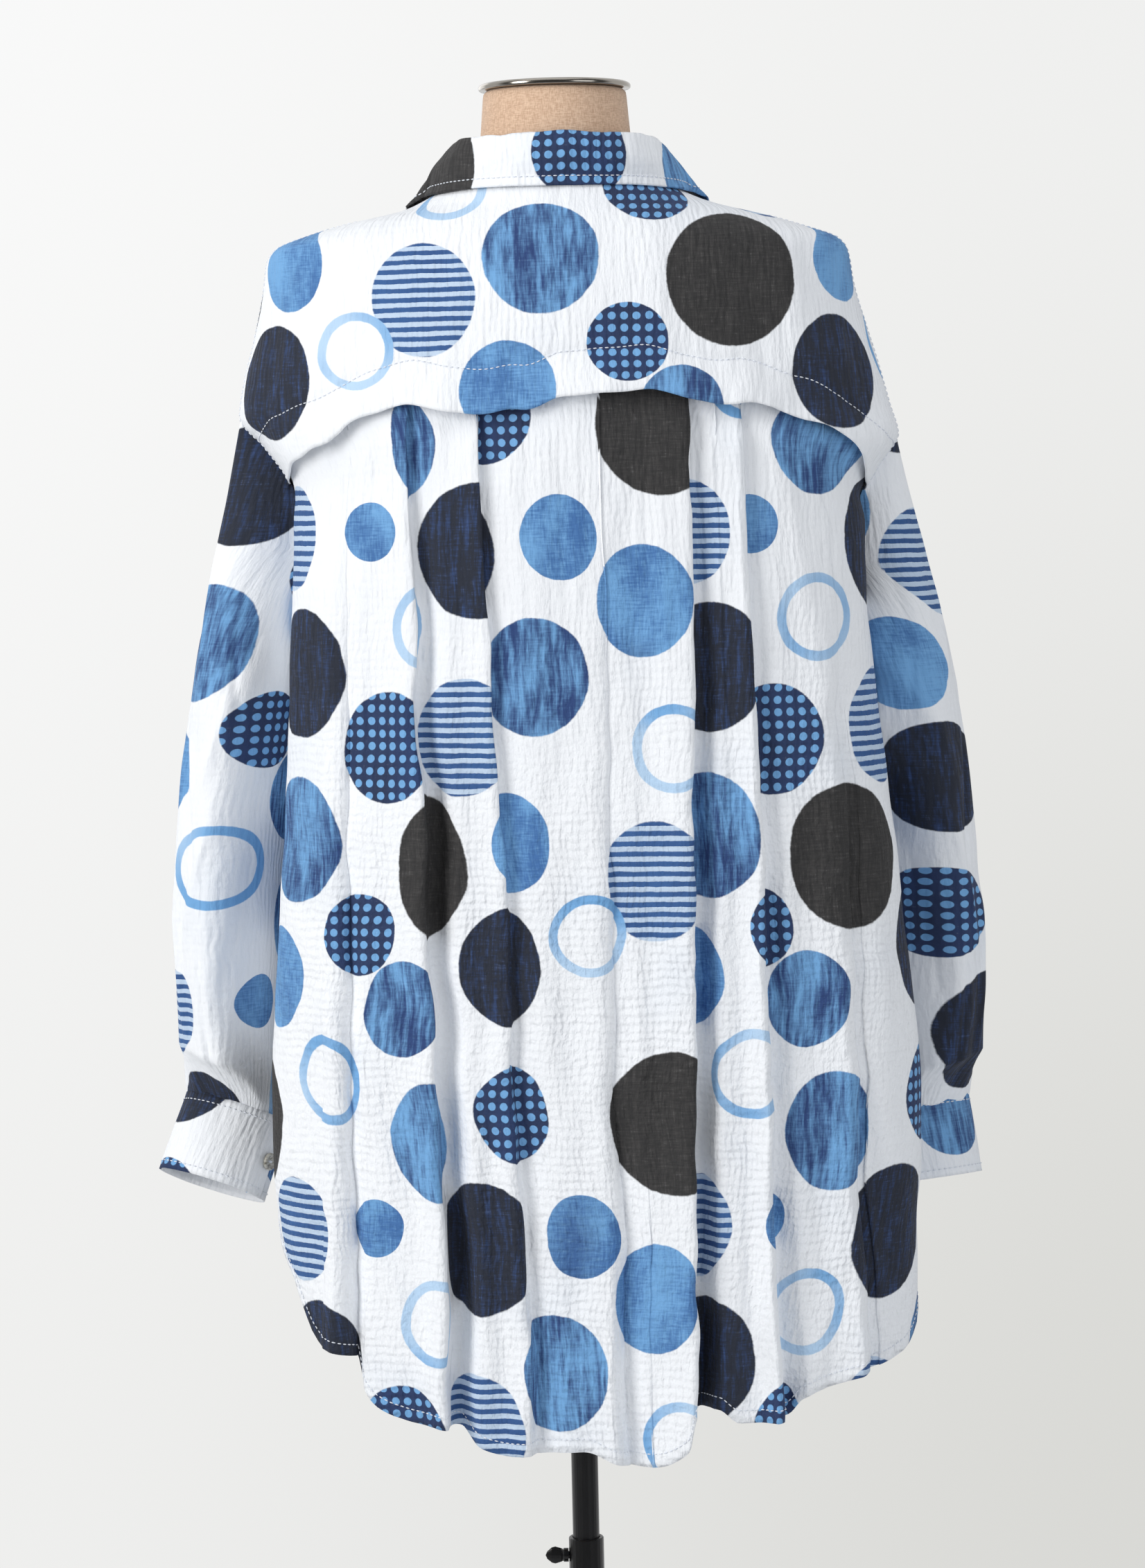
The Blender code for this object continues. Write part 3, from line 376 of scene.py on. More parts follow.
def panel(rows, columns, place):
    """Rows of points, each worked out from its shares across and down."""
    return [[place(column / columns, row / rows) for column in range(columns + 1)] for row in range(rows + 1)]


def ripple(u, v, seed):
    """Small uneven puckers of the gauze, longer down the cloth than across it."""
    wide = noise_at(0.034, seed, u, v, 0.090)
    soft = noise_at(0.013, seed + 7.3, u, v, 0.034)
    fine = noise_at(0.0052, seed + 3.1, u, v, 0.026)
    return 0.0010 * wide + 0.00070 * soft + 0.00042 * fine


# Folds of the back, from the wearer's left to right: x at the top, in the middle and at the hem,
# reach on each side, then the crest's lift, the trough's depth and the undercut in millimetres,
# each at the top, in the middle and at the hem
FOLD_TOP = 1.26
FOLD_MID = 0.93
FOLD_HEM = 0.58
FOLD_SWAY = 0.0050
BACK_FOLDS = (
    (0.1520, 0.1580, 0.1630, 0.022, 0.016, (0, 5, 10), (0, 4, 9), (-8.0, -8.0, -8.0)),
    (0.1035, 0.0975, 0.0890, 0.024, 0.020, (4, 8, 10), (4, 14, 18), (3.0, 2.0, 0.0)),
    (0.0560, 0.0440, 0.0340, 0.019, 0.024, (4, 4, 5), (3, 4, 6), (3.5, -1.0, -5.0)),
    (-0.0200, -0.0220, -0.0240, 0.026, 0.022, (0, 3, 6), (0, 2, 5), (-9.0, -9.0, -9.0)),
    (-0.0860, -0.0830, -0.0770, 0.030, 0.017, (4, 8, 12), (4, 14, 24), (3.5, 3.0, 2.5)),
    (-0.1220, -0.1290, -0.1340, 0.017, 0.019, (4, 8, 13), (2, 5, 9), (2.5, -1.0, -3.0)),
    (-0.1740, -0.1850, -0.1930, 0.024, 0.018, (0, 4, 9), (0, 2, 4), (-8.0, -8.0, -8.0)),
)
# Creases: x and height at both ends, width and lift
BACK_CREASES = (
    (0.165, 0.860, 0.120, 0.700, 0.016, 0.0035),
    (0.150, 0.790, 0.108, 0.640, 0.014, -0.0030),
    (0.190, 0.940, 0.160, 0.830, 0.013, 0.0026),
    (0.172, 1.190, 0.152, 1.060, 0.012, 0.0018),
    (0.130, 1.150, 0.142, 0.990, 0.010, -0.0014),
    (0.010, 1.240, 0.020, 1.120, 0.012, 0.0012),
    (-0.040, 1.200, -0.050, 1.040, 0.011, -0.0014),
    (0.028, 0.900, -0.008, 0.690, 0.018, 0.0028),
    (-0.045, 0.860, -0.052, 0.640, 0.013, 0.0022),
    (0.070, 0.780, 0.064, 0.620, 0.012, 0.0026),
    (-0.150, 1.220, -0.172, 1.080, 0.013, 0.0020),
    (-0.160, 0.980, -0.150, 0.820, 0.013, -0.0020),
    (-0.205, 1.000, -0.214, 0.820, 0.014, 0.0026),
    (-0.195, 0.800, -0.215, 0.680, 0.012, -0.0024),
    (-0.110, 0.760, -0.104, 0.630, 0.010, 0.0018),
    (0.085, 1.230, 0.098, 1.130, 0.009, -0.0012),
    (-0.062, 1.240, -0.066, 1.120, 0.009, 0.0014),
    (0.118, 1.060, 0.116, 0.900, 0.010, 0.0014),
    (0.000, 0.660, 0.004, 0.570, 0.013, 0.0018),
    (0.180, 1.080, 0.196, 0.960, 0.011, -0.0016),
    (-0.030, 0.640, -0.036, 0.560, 0.010, -0.0020),
    (0.128, 0.680, 0.100, 0.600, 0.011, 0.0022),
    (-0.175, 0.700, -0.160, 0.610, 0.011, 0.0020),
)


def by_height(values, height):
    """A size given at the top, in the middle and at the hem, at any height between."""
    top, middle, hem = values
    if height > FOLD_MID:
        return mix(middle, top, smooth((height - FOLD_MID) / (FOLD_TOP - FOLD_MID)))
    return mix(middle, hem, smooth((FOLD_MID - height) / (FOLD_MID - FOLD_HEM)))


def back_height(share, side, v):
    """Height of a place of the back panel: its share of the way round from the centre, and down."""
    top = flap_edge(side * share * 90.0) + FLAP_DROP
    return mix(top, back_hem(side * share * SIDE_TURN), v ** 1.05)


def fold_stations(v):
    """Shares of the way round, and the lift at each, from the panel's left edge to its right."""
    stations = [(1.0, 0.0), (0.93, 0.0), (0.86, 0.0)]
    for x_top, x_mid, x_hem, reach_left, reach_right, crest, trough, undercut in BACK_FOLDS:
        side = side_of(x_mid)
        guess = abs(x_mid) / body_half[side](0.93)
        height = back_height(math.degrees(math.asin(guess)) / SIDE_TURN, side, v)
        own = x_mid * 37.0
        sway = noise_at(0.085, 2.0, height, own) + 0.4 * noise_at(0.030, 6.0, height, own)
        sway *= FOLD_SWAY * smooth((FOLD_TOP - height) / 0.20)
        x = by_height((x_top, x_mid, x_hem), height) + sway
        high, low, under = (by_height(sizes, height) * 0.001 for sizes in (crest, trough, undercut))
        half = body_half[side](height)
        edge = edge_turn(height, side, True)
        for aside, lift in (
                (reach_left, 0.0),
                (reach_left * 0.50, high * 0.62),
                (0.0050, high),
                (0.0004, high * 0.72),
                (0.0010 + under * 0.5, mix(high, -low, 0.5)),
                (under * 0.6, -low * 0.75),
                (-0.0052, -low),
                (-reach_right * 0.60, -low * 0.55),
                (-reach_right, 0.0)):
            place = (x + aside) / half
            stations.append((math.degrees(math.asin(max(-0.999, min(0.999, place)))) / edge, lift))
    return stations + [(-0.86, 0.0), (-0.93, 0.0), (-1.0, 0.0)]


# Steps between the stations: before the folds, over each fold, and after them
FIRST_SPANS = [6, 6, 9]
FOLD_SPANS = [6, 5, 3, 3, 3, 4, 4, 5, 9]
LAST_SPANS = [6, 6]
SPANS = FIRST_SPANS + FOLD_SPANS * len(BACK_FOLDS) + LAST_SPANS


def curve_through(stations, spans):
    """A smooth curve through the stations, with a set count of steps in each span."""
    points = [stations[0]] + stations + [stations[-1]]
    made = []
    for k, count in enumerate(spans):
        before, start, end, after = points[k:k + 4]
        for i in range(count):
            t = i / count
            made.append(tuple(
                0.5 * (2.0 * b + (c - a) * t + (2.0 * a - 5.0 * b + 4.0 * c - d) * t * t
                       + (3.0 * b - 3.0 * c + d - a) * t ** 3)
                for a, b, c, d in zip(before, start, end, after)))
    made.append(stations[-1])
    return made


HEM_DEPTH = 0.009


def hem_relief(above_hem, x):
    """Turned-up hem: a stitched groove over it, and puckers drawn in by the stitches."""
    pucker = noise_at(0.0075, 21.0, x, 0.3) * 0.0011 + noise_at(0.021, 5.0, x, 0.7) * 0.0016
    return pucker * bump_at(above_hem - 0.004, 0.013) - 0.0006 * bump_at(above_hem - HEM_DEPTH, 0.0022)


def back_points(rows):
    """Pleated back, as rows of points from the seam under the yoke's flap down to the hem."""
    made = []
    for row in range(rows + 1):
        v = row / rows
        points = []
        for place, lift in curve_through(fold_stations(v), SPANS):
            side = side_of(place)
            share = min(abs(place), 1.0)
            height = back_height(share, side, v)
            free_edge = flap_edge(side * share * 90.0)
            turn = side * share * edge_turn(height, side, True)
            x = body_point(turn, height).x
            free = smooth((free_edge + FLAP_DROP * 0.7 - height) / (1.6 * FLAP_DROP))
            rise = (lift + crease_lift(BACK_CREASES, x, height) + ripple(x, height, 1.5)) * free
            rise *= smooth((1.0 - share) / 0.03)
            rise += hem_relief(height - back_hem(side * share * SIDE_TURN), x)
            rise -= FLAP_TUCK * (1.0 - smooth((free_edge - height) / 0.025))
            points.append(body_point(turn, height, rise))
        made.append(points)
    return made


# Yoke
YOKE_CREASES = (
    (0.150, 1.380, 0.178, 1.262, 0.015, 0.0022),
    (0.110, 1.400, 0.140, 1.290, 0.014, -0.0014),
    (-0.150, 1.380, -0.182, 1.262, 0.015, 0.0022),
    (-0.118, 1.398, -0.140, 1.300, 0.013, -0.0014),
    (0.030, 1.420, 0.010, 1.320, 0.020, 0.0010),
    (-0.060, 1.415, -0.070, 1.310, 0.016, 0.0012),
    (0.070, 1.345, 0.080, 1.285, 0.010, 0.0012),
    (-0.030, 1.330, -0.022, 1.285, 0.011, -0.0010),
    (0.196, 1.350, 0.205, 1.260, 0.010, -0.0014),
    (-0.200, 1.350, -0.212, 1.262, 0.010, -0.0014),
)
# Waves of the flap: x of the middle, width and lift
FLAP_WAVES = (
    (0.160, 0.012, 0.0025),
    (0.122, 0.014, -0.0020),
    (0.080, 0.018, 0.0030),
    (0.026, 0.020, -0.0014),
    (-0.030, 0.020, 0.0024),
    (-0.086, 0.017, 0.0040),
    (-0.122, 0.014, 0.0030),
    (-0.160, 0.012, -0.0016),
)


def yoke_place(u, v):
    """Yoke over the shoulders, with its free lower edge standing off the pleats."""
    across = 1.0 - 2.0 * u
    side = side_of(across)
    share = yoke_turn(abs(across)) / 90.0
    free_edge = flap_edge(side * share * 90.0) + 0.0026 * noise.noise(Vector((across * 12.0, 0.0, 4.0)))
    height = mix(NECK_HEIGHT, free_edge, v ** YOKE_ROW_POWER)
    turn = side * share * edge_turn(height, side, True)
    x = body_point(turn, height).x
    low = smooth((free_edge + FLAP_DROP - height) / FLAP_DROP) * smooth((0.90 - share) / 0.22)
    flare = FLAP_FLARE * low
    for middle, width, lift in FLAP_WAVES:
        flare += lift * low * bump_at(x - middle, width)
    inner = smooth(v / 0.12) * smooth((1.0 - share) / 0.05)
    flare += (crease_lift(YOKE_CREASES, x, height) + ripple(x, height, 4.5) * 0.9) * inner
    seam = height - free_edge - FLAP_DROP
    flare -= 0.0011 * bump_at(seam, 0.0030) * smooth((1.0 - share) / 0.08)
    pucker = 0.0010 * noise_at(0.0065, 8.0, x, height, 0.030)
    flare += pucker * bump_at(seam, 0.0120) * smooth((1.0 - share) / 0.06)
    flare += 0.0012 * noise_at(0.012, 14.0, x) * bump_at(height - free_edge, 0.009) * low
    return body_point(turn, height, flare)


# Fronts and band
BAND_WIDTH = 0.030
UNDERLAP = 0.013
UNDERLAP_DROP = 0.0030
# Folds of the fronts: x at the top and the hem, reach on the left and the right,
# lift at the top, in the middle and at the hem
FRONT_FOLDS = (
    (0.135, 0.140, 0.022, 0.022, 0.002, 0.008, 0.011),
    (0.098, 0.096, 0.018, 0.018, 0.000, -0.006, -0.010),
    (0.062, 0.056, 0.022, 0.020, 0.003, 0.007, 0.009),
    (-0.058, -0.052, 0.020, 0.024, 0.003, 0.006, 0.010),
    (-0.098, -0.100, 0.020, 0.018, 0.000, -0.006, -0.011),
    (-0.140, -0.156, 0.024, 0.024, 0.002, 0.008, 0.012),
)
FRONT_CREASES = (
    (0.055, 1.340, 0.110, 1.230, 0.016, 0.0022),
    (0.120, 1.300, 0.150, 1.180, 0.014, -0.0018),
    (0.060, 1.180, 0.085, 1.020, 0.014, 0.0022),
    (0.120, 1.100, 0.150, 0.950, 0.014, 0.0020),
    (0.040, 0.980, 0.034, 0.820, 0.011, -0.0016),
    (0.085, 0.860, 0.080, 0.700, 0.013, 0.0022),
    (0.160, 0.900, 0.175, 0.760, 0.012, -0.0020),
    (-0.052, 1.330, -0.100, 1.220, 0.016, 0.0020),
    (-0.120, 1.290, -0.146, 1.170, 0.014, -0.0018),
    (-0.070, 1.160, -0.088, 1.000, 0.014, 0.0020),
    (-0.130, 1.090, -0.160, 0.930, 0.014, 0.0022),
    (-0.036, 0.960, -0.040, 0.800, 0.011, 0.0016),
    (-0.082, 0.850, -0.076, 0.690, 0.013, -0.0022),
    (-0.176, 0.900, -0.190, 0.760, 0.013, 0.0020),
)


def fold_lift(folds, x, height):
    """Sum of the folds that pass a place, each a rounded ridge or trough that leans and grows."""
    down = (FOLD_TOP - height) / (FOLD_TOP - FOLD_HEM)
    total = 0.0
    for x_top, x_hem, reach_left, reach_right, *lifts in folds:
        offset = x - mix(x_top, x_hem, down)
        reach = (reach_left if offset > 0.0 else reach_right) * mix(0.85, 1.15, min(max(down, 0.0), 1.0))
        if abs(offset) < reach:
            total += by_share(*lifts, down) * ridge(offset, reach)
    return total


def front_place(side, inner_x, drop, u, v):
    """Half of the front, from the neckline to its shirt-tail hem."""
    hem_height = front_hem(SIDE_TURN)
    hem_middle = front_hem(180.0)
    down = mix(v ** 1.5, v, smooth(v / 0.5))
    edge_height = mix(NECK_HEIGHT, hem_height, down)
    end_turn = edge_turn(edge_height, side, False)
    end_sine = math.sin(math.radians(end_turn))
    edge_x = side * body_half[side](edge_height) * end_sine
    middle_height = mix(NECK_HEIGHT - FRONT_NECK_DROP, hem_middle, down)

    sweep = mix(front_neck_sweep(u) / 90.0, u, smooth(down / 0.25))
    across = math.sin(math.radians(180.0 - (180.0 - end_turn) * sweep)) / end_sine
    x = mix(inner_x, edge_x, across)
    neck_share = 1.0 - math.sqrt(1.0 - min(abs(x / edge_x), 1.0) ** 2)
    hem_share = (front_hem(180.0 - (180.0 - SIDE_TURN) * u) - hem_middle) / (hem_height - hem_middle)
    share = mix(neck_share, across ** 2, smooth(down / 0.12))
    height = mix(middle_height, edge_height, mix(share, hem_share, smooth(down * 2.0 - 1.0)))

    lift = fold_lift(FRONT_FOLDS, x, height) * smooth((1.0 - u) / 0.15) * smooth((1.33 - height) / 0.20)
    near_band = 1.0 - smooth((abs(x) - BAND_WIDTH / 2.0 - 0.003) / 0.020)
    if side * x < 0.0:
        near_band = 1.0
    calm = (1.0 - near_band) * smooth((1.0 - u) / 0.08) * smooth(v / 0.05)
    lift += (crease_lift(FRONT_CREASES, x, height) + ripple(x, height, 9.5)) * calm
    lift += hem_relief((1.0 - v) * (NECK_HEIGHT - hem_height), x) * calm
    steep = 1.0 + 0.6 * smooth((height - 1.29) / 0.05)
    return pushed(x, surface_y(x, height, False), height, lift - drop * near_band * steep)


def band_place(u, v):
    x = mix(-0.5, 0.5, u) * BAND_WIDTH
    height = mix(neck_height(x), front_hem(180.0), v)
    groove = bump_at(BAND_WIDTH / 2.0 - abs(x) - 0.0035, 0.0012)
    return pushed(x, surface_y(x, height, False), height, -0.0004 * groove)


# Outer and inner line of each hanging sleeve, seen square from the back
# (share of its length, x and height of the outer and the inner line, y of the middle, half depth, twist)
SLEEVE_LEFT = (
    (0.00, 0.2260, 1.272, 0.1800, 1.087, -0.004, 0.038, 0.004),
    (0.08, 0.2330, 1.225, 0.1830, 1.068, -0.010, 0.050, 0.012),
    (0.17, 0.2400, 1.175, 0.1860, 1.045, -0.018, 0.060, 0.020),
    (0.30, 0.2530, 1.103, 0.1890, 1.010, -0.026, 0.066, 0.024),
    (0.46, 0.2670, 1.019, 0.1930, 0.960, -0.032, 0.067, 0.024),
    (0.60, 0.2735, 0.950, 0.1970, 0.910, -0.034, 0.066, 0.024),
    (0.75, 0.2755, 0.880, 0.2020, 0.854, -0.035, 0.063, 0.022),
    (0.86, 0.2765, 0.832, 0.2040, 0.812, -0.034, 0.058, 0.018),
)
SLEEVE_RIGHT = (
    (0.00, 0.2350, 1.250, 0.1930, 1.065, -0.004, 0.038, 0.004),
    (0.08, 0.2400, 1.215, 0.1950, 1.050, -0.014, 0.050, 0.012),
    (0.17, 0.2465, 1.178, 0.1965, 1.030, -0.026, 0.060, 0.020),
    (0.30, 0.2590, 1.112, 0.1980, 0.998, -0.040, 0.065, 0.028),
    (0.46, 0.2710, 1.018, 0.2000, 0.950, -0.050, 0.066, 0.032),
    (0.60, 0.2770, 0.938, 0.2020, 0.900, -0.060, 0.065, 0.034),
    (0.75, 0.2815, 0.862, 0.2070, 0.838, -0.066, 0.062, 0.032),
    (0.86, 0.2830, 0.812, 0.2080, 0.798, -0.067, 0.057, 0.026),
)
# Folds: angle of the middle, half angle, lift at the top, in the middle and at the end
SLEEVE_FOLDS = (
    (12.0, 26.0, 0.000, 0.002, 0.003),
    (62.0, 24.0, 0.002, -0.004, -0.005),
    (105.0, 30.0, 0.000, 0.005, 0.006),
    (205.0, 30.0, 0.000, -0.003, -0.004),
    (270.0, 30.0, 0.001, 0.005, 0.005),
    (322.0, 26.0, 0.000, -0.004, -0.004),
)
# Creases: angle and share of the length at both ends, width in degrees, lift
SLEEVE_CREASES = (
    (20.0, 0.06, 60.0, 0.30, 9.0, 0.0026),
    (70.0, 0.05, 110.0, 0.24, 9.0, -0.0022),
    (120.0, 0.08, 80.0, 0.40, 9.0, 0.0026),
    (35.0, 0.35, 75.0, 0.55, 8.0, -0.0024),
    (95.0, 0.45, 60.0, 0.70, 9.0, 0.0028),
    (130.0, 0.50, 110.0, 0.75, 9.0, -0.0022),
    (40.0, 0.62, 55.0, 0.86, 8.0, 0.0030),
    (85.0, 0.66, 92.0, 0.88, 7.0, -0.0028),
    (15.0, 0.60, 20.0, 0.85, 8.0, -0.0024),
    (230.0, 0.10, 270.0, 0.35, 10.0, 0.0026),
    (300.0, 0.08, 262.0, 0.30, 9.0, -0.0022),
    (250.0, 0.45, 290.0, 0.70, 10.0, 0.0028),
    (310.0, 0.50, 330.0, 0.80, 9.0, 0.0024),
    (215.0, 0.60, 225.0, 0.86, 8.0, -0.0024),
    (275.0, 0.72, 268.0, 0.90, 8.0, -0.0026),
    (340.0, 0.20, 350.0, 0.48, 10.0, 0.0024),
    (160.0, 0.30, 175.0, 0.62, 10.0, 0.0020),
)
SLEEVE_OFF_BODY = 0.0042
SLEEVE_SEAM_ANGLE = 180.0
SLEEVE_START_UNDER = -0.0015
SLEEVE_START_TUCK = 0.0045
SLEEVE_END_INSIDE = -0.0045
SLEEVE_END_ABOVE = -0.16
SLEEVE_END_PUFF = 0.0034
# Gathers round the cuff: angle and size
GATHERS = ((0.0, 0.9), (17.0, -0.8), (38.0, 1.0), (57.0, -0.9), (72.0, 0.7), (94.0, -1.0), (116.0, 1.0),
           (133.0, -0.7), (151.0, 0.8), (176.0, -1.0), (201.0, 0.9), (219.0, -0.7), (240.0, 1.0),
           (262.0, -1.0), (284.0, 0.8), (301.0, -0.8), (322.0, 1.0), (343.0, -0.9))
GATHER_LIFT = 0.0022
GATHER_REACH = 0.22
GATHER_WIDTH = 7.0
CUFF_HEIGHT = 0.058
CUFF_HALF_WIDTH = 0.038
CUFF_HALF_DEPTH = 0.031
CUFF_OVERLAP = 24.0
CUFF_BUTTON_ANGLE = 148.0
CUFFS = {
    1: {"top": (0.2435, -0.030, 0.780), "lean": 19.0, "tip": 17.0, "lap": 0.10},
    -1: {"top": (-0.2465, -0.069, 0.770), "lean": 7.0, "tip": 9.0, "lap": 0.24},
}


def armhole_loop(side, angle, push):
    """Point of the armhole seam, from its top (0) over the back (90) to the underarm (180)."""
    share = (1.0 - math.cos(math.radians(angle))) / 2.0
    height = ARMHOLE_TOP[side] - share * ARMHOLE_DEPTH
    turn = armhole_back(share) if angle <= 180.0 else armhole_front(share)
    return body_point(side * turn, height, push)


def sleeve_start(side, angle):
    """Head of the sleeve, tucked just under the edges of the panels round the armhole."""
    hole = Vector((side * 0.215, -0.004, ARMHOLE_TOP[side] - ARMHOLE_DEPTH * 0.5))
    seam = armhole_loop(side, angle, 0.0)
    return onto_cloth(seam + (seam - hole).normalized() * SLEEVE_START_TUCK, SLEEVE_START_UNDER)


def cuff_frame(side):
    """Middle of the cuff's top, its width and depth directions, and its axis."""
    cuff = CUFFS[side]
    turn = Matrix.Rotation(math.radians(-side * cuff["lean"]), 3, "Y")
    turn = turn @ Matrix.Rotation(math.radians(cuff["tip"]), 3, "X")
    directions = (turn @ Vector(way) for way in ((side, 0, 0), (0, 1, 0), (0, 0, -1)))
    return Vector(cuff["top"]), *directions


CUFF_FRAMES = {side: cuff_frame(side) for side in (1, -1)}


def cuff_point(side, angle, down, push=0.0):
    """Point of the cuff's outer face at an angle round it and a share of its height."""
    top, width, depth, axis = CUFF_FRAMES[side]
    radians = math.radians(angle)
    flare = 1.0 + 0.04 * down
    ring = width * (CUFF_HALF_WIDTH * flare * math.cos(radians))
    ring += depth * (CUFF_HALF_DEPTH * flare * math.sin(radians))
    outward = width * math.cos(radians) / CUFF_HALF_WIDTH + depth * math.sin(radians) / CUFF_HALF_DEPTH
    return top + axis * (CUFF_HEIGHT * down) + ring + outward.normalized() * push


def ring_offset(angle, middle):
    return (angle - middle + 180.0) % 360.0 - 180.0


def sleeve_lift(angle, share):
    total = 0.0
    for middle, half_angle, *lifts in SLEEVE_FOLDS:
        offset = ring_offset(angle, middle)
        if abs(offset) < half_angle:
            total += by_share(*lifts, share) * ridge(offset, half_angle)
    for a0, s0, a1, s1, width, lift in SLEEVE_CREASES:
        along = (share - s0) / (s1 - s0)
        if -0.2 < along < 1.2:
            aside = ring_offset(angle, mix(a0, a1, along)) / width
            if abs(aside) < 1.6:
                total += lift * crease_shape(along, aside, 0.2, 2.5)
    return total


def gather_at(angle, v):
    """Lift of the gathers over the cuff, growing to the sleeve's end."""
    near = smooth((v - 1.0 + GATHER_REACH) / GATHER_REACH)
    if near == 0.0:
        return 0.0
    total = 0.6 * near
    for middle, size in GATHERS:
        total += size * bump_at(ring_offset(angle, middle), GATHER_WIDTH)
    return total * GATHER_LIFT * near


def into_cuff(side, swept, point, gather, down):
    """Last stretch of the sleeve, from where it hangs over the cuff's top edge and inside it."""
    angle = swept % 360.0
    puff = SLEEVE_END_PUFF + 0.0012 * noise_at(24.0, side * 2.0, swept)
    above = off_cloth(cuff_point(side, angle, SLEEVE_END_ABOVE, puff + gather), SLEEVE_OFF_BODY)
    end = cuff_point(side, angle, CUFFS[side]["lap"], SLEEVE_END_INSIDE)
    return point.lerp(above, down).lerp(above.lerp(end, down), down)


def sleeve_points(side, rows, columns):
    """Sleeve from the armhole seam to its gathered end inside the cuff's top edge."""
    table = SLEEVE_LEFT if side > 0 else SLEEVE_RIGHT
    outer_x, outer_z, inner_x, inner_z, middle_y, half_depth, twist = (track(table, i) for i in range(1, 8))
    last = table[-1][0]
    sweep = [SLEEVE_SEAM_ANGLE + 360.0 * column / columns for column in range(columns)]
    starts = [sleeve_start(side, swept % 360.0) for swept in sweep]
    made = []
    for row in range(rows + 1):
        v = row / rows
        share = min(v, last)
        outer = Vector((side * outer_x(share), middle_y(share), outer_z(share)))
        inner = Vector((side * inner_x(share), middle_y(share), inner_z(share)))
        deep = Vector((side * twist(share), half_depth(share), 0.0))
        gap = mix(SLEEVE_START_UNDER, SLEEVE_OFF_BODY, smooth((v - 0.035) / 0.09))
        points = []
        for start, swept in zip(starts, sweep):
            angle = swept % 360.0
            radians = math.radians(angle)
            ring = (outer - inner) / 2.0 * math.cos(radians) + deep * math.sin(radians)
            lift = sleeve_lift(angle, v) * smooth(v / 0.25)
            puckers = ripple(swept / 360.0 * 0.32, v * 0.5, 13.5 + side)
            lift += puckers * smooth(v / 0.1) * smooth((1.0 - v) / 0.03)
            point = (outer + inner) / 2.0 + ring * (1.0 + lift / ring.length)
            gather = gather_at(angle, v)
            point = off_cloth(start.lerp(point, smooth(v / 0.16)) + ring.normalized() * gather, gap)
            if v > last:
                point = into_cuff(side, swept, point, gather, (v - last) / (1.0 - last))
            points.append(point)
        made.append(points + [points[0].copy()])
    return made


def wrapped(u, overlap):
    """Angle along a band that overlaps itself, and how far its under end lies inside."""
    angle = u * (360.0 + overlap)
    return angle, -(CUFF_WALL + LAP_GAP + 0.0004) * (1.0 - smooth((angle - overlap - 4.0) / 16.0))


def cuff_place(side, u, v):
    angle, push = wrapped(u, CUFF_OVERLAP)
    angle += CUFF_BUTTON_ANGLE - CUFF_OVERLAP * 0.6
    push -= 0.0004 * bump_at(min(v, 1.0 - v) * CUFF_HEIGHT - 0.0055, 0.0012)
    push += 0.0007 * noise_at(22.0, side + 0.5, angle, v * 2.0)
    push += 0.0005 * noise_at(7.0, side + 4.5, angle, v * 3.5)
    return cuff_point(side, angle, v, push)


# Collar
STAND_OVERLAP = 14.0
STAND_INSET = 0.0003
STAND_LIFT = 0.0012
# Collar stand: angle from the middle of the back, lean inward, rise
STAND_RISE = (
    (0.0, 0.0010, 0.0285),
    (60.0, 0.0035, 0.0250),
    (90.0, 0.0060, 0.0205),
    (130.0, 0.0110, 0.0230),
    (180.0, 0.0130, 0.0260),
)
# Free edge of the collar fall: angle from the middle of the back, x, height
FALL_EDGE = (
    (0.0, 0.000, 1.4235),
    (26.0, 0.044, 1.4235),
    (50.0, 0.077, 1.4220),
    (68.0, 0.098, 1.4195),
    (84.0, 0.107, 1.4120),
    (104.0, 0.108, 1.3880),
    (126.0, 0.098, 1.3550),
    (150.0, 0.080, 1.3270),
    (166.0, 0.064, 1.3100),
)
FALL_END = 166.0
FALL_SIDE = 75.0
FALL_CLEARANCE = 0.0026
FALL_ROLL = 0.0022
FALL_BULGE = 0.0030
FALL_DEPTH = 0.038
FALL_SEAM_IN = 0.0065
stand_lean = track(STAND_RISE, 1)
stand_rise = track(STAND_RISE, 2)
fall_x = track(FALL_EDGE, 1)
fall_height = track(FALL_EDGE, 2)


def stand_curve(angle, up):
    """Outer face of the collar stand: up is 0 at the neck seam and 1 at its top edge."""
    angle = (angle + 180.0) % 360.0 - 180.0
    seam = neckline(side_of(angle) * neck_turn(abs(angle) / 180.0))
    away = Vector((seam.x, seam.y, 0.0)).normalized()
    top = seam - away * stand_lean(abs(angle)) + Vector((0.0, 0.0, stand_rise(abs(angle))))
    seam = seam - away * STAND_INSET + Vector((0.0, 0.0, STAND_LIFT))
    return seam.lerp(top, up), away


def stand_place(u, v):
    angle, push = wrapped(u, STAND_OVERLAP)
    point, away = stand_curve(180.0 - STAND_OVERLAP * 0.5 + angle, 1.0 - v)
    return point + away * push


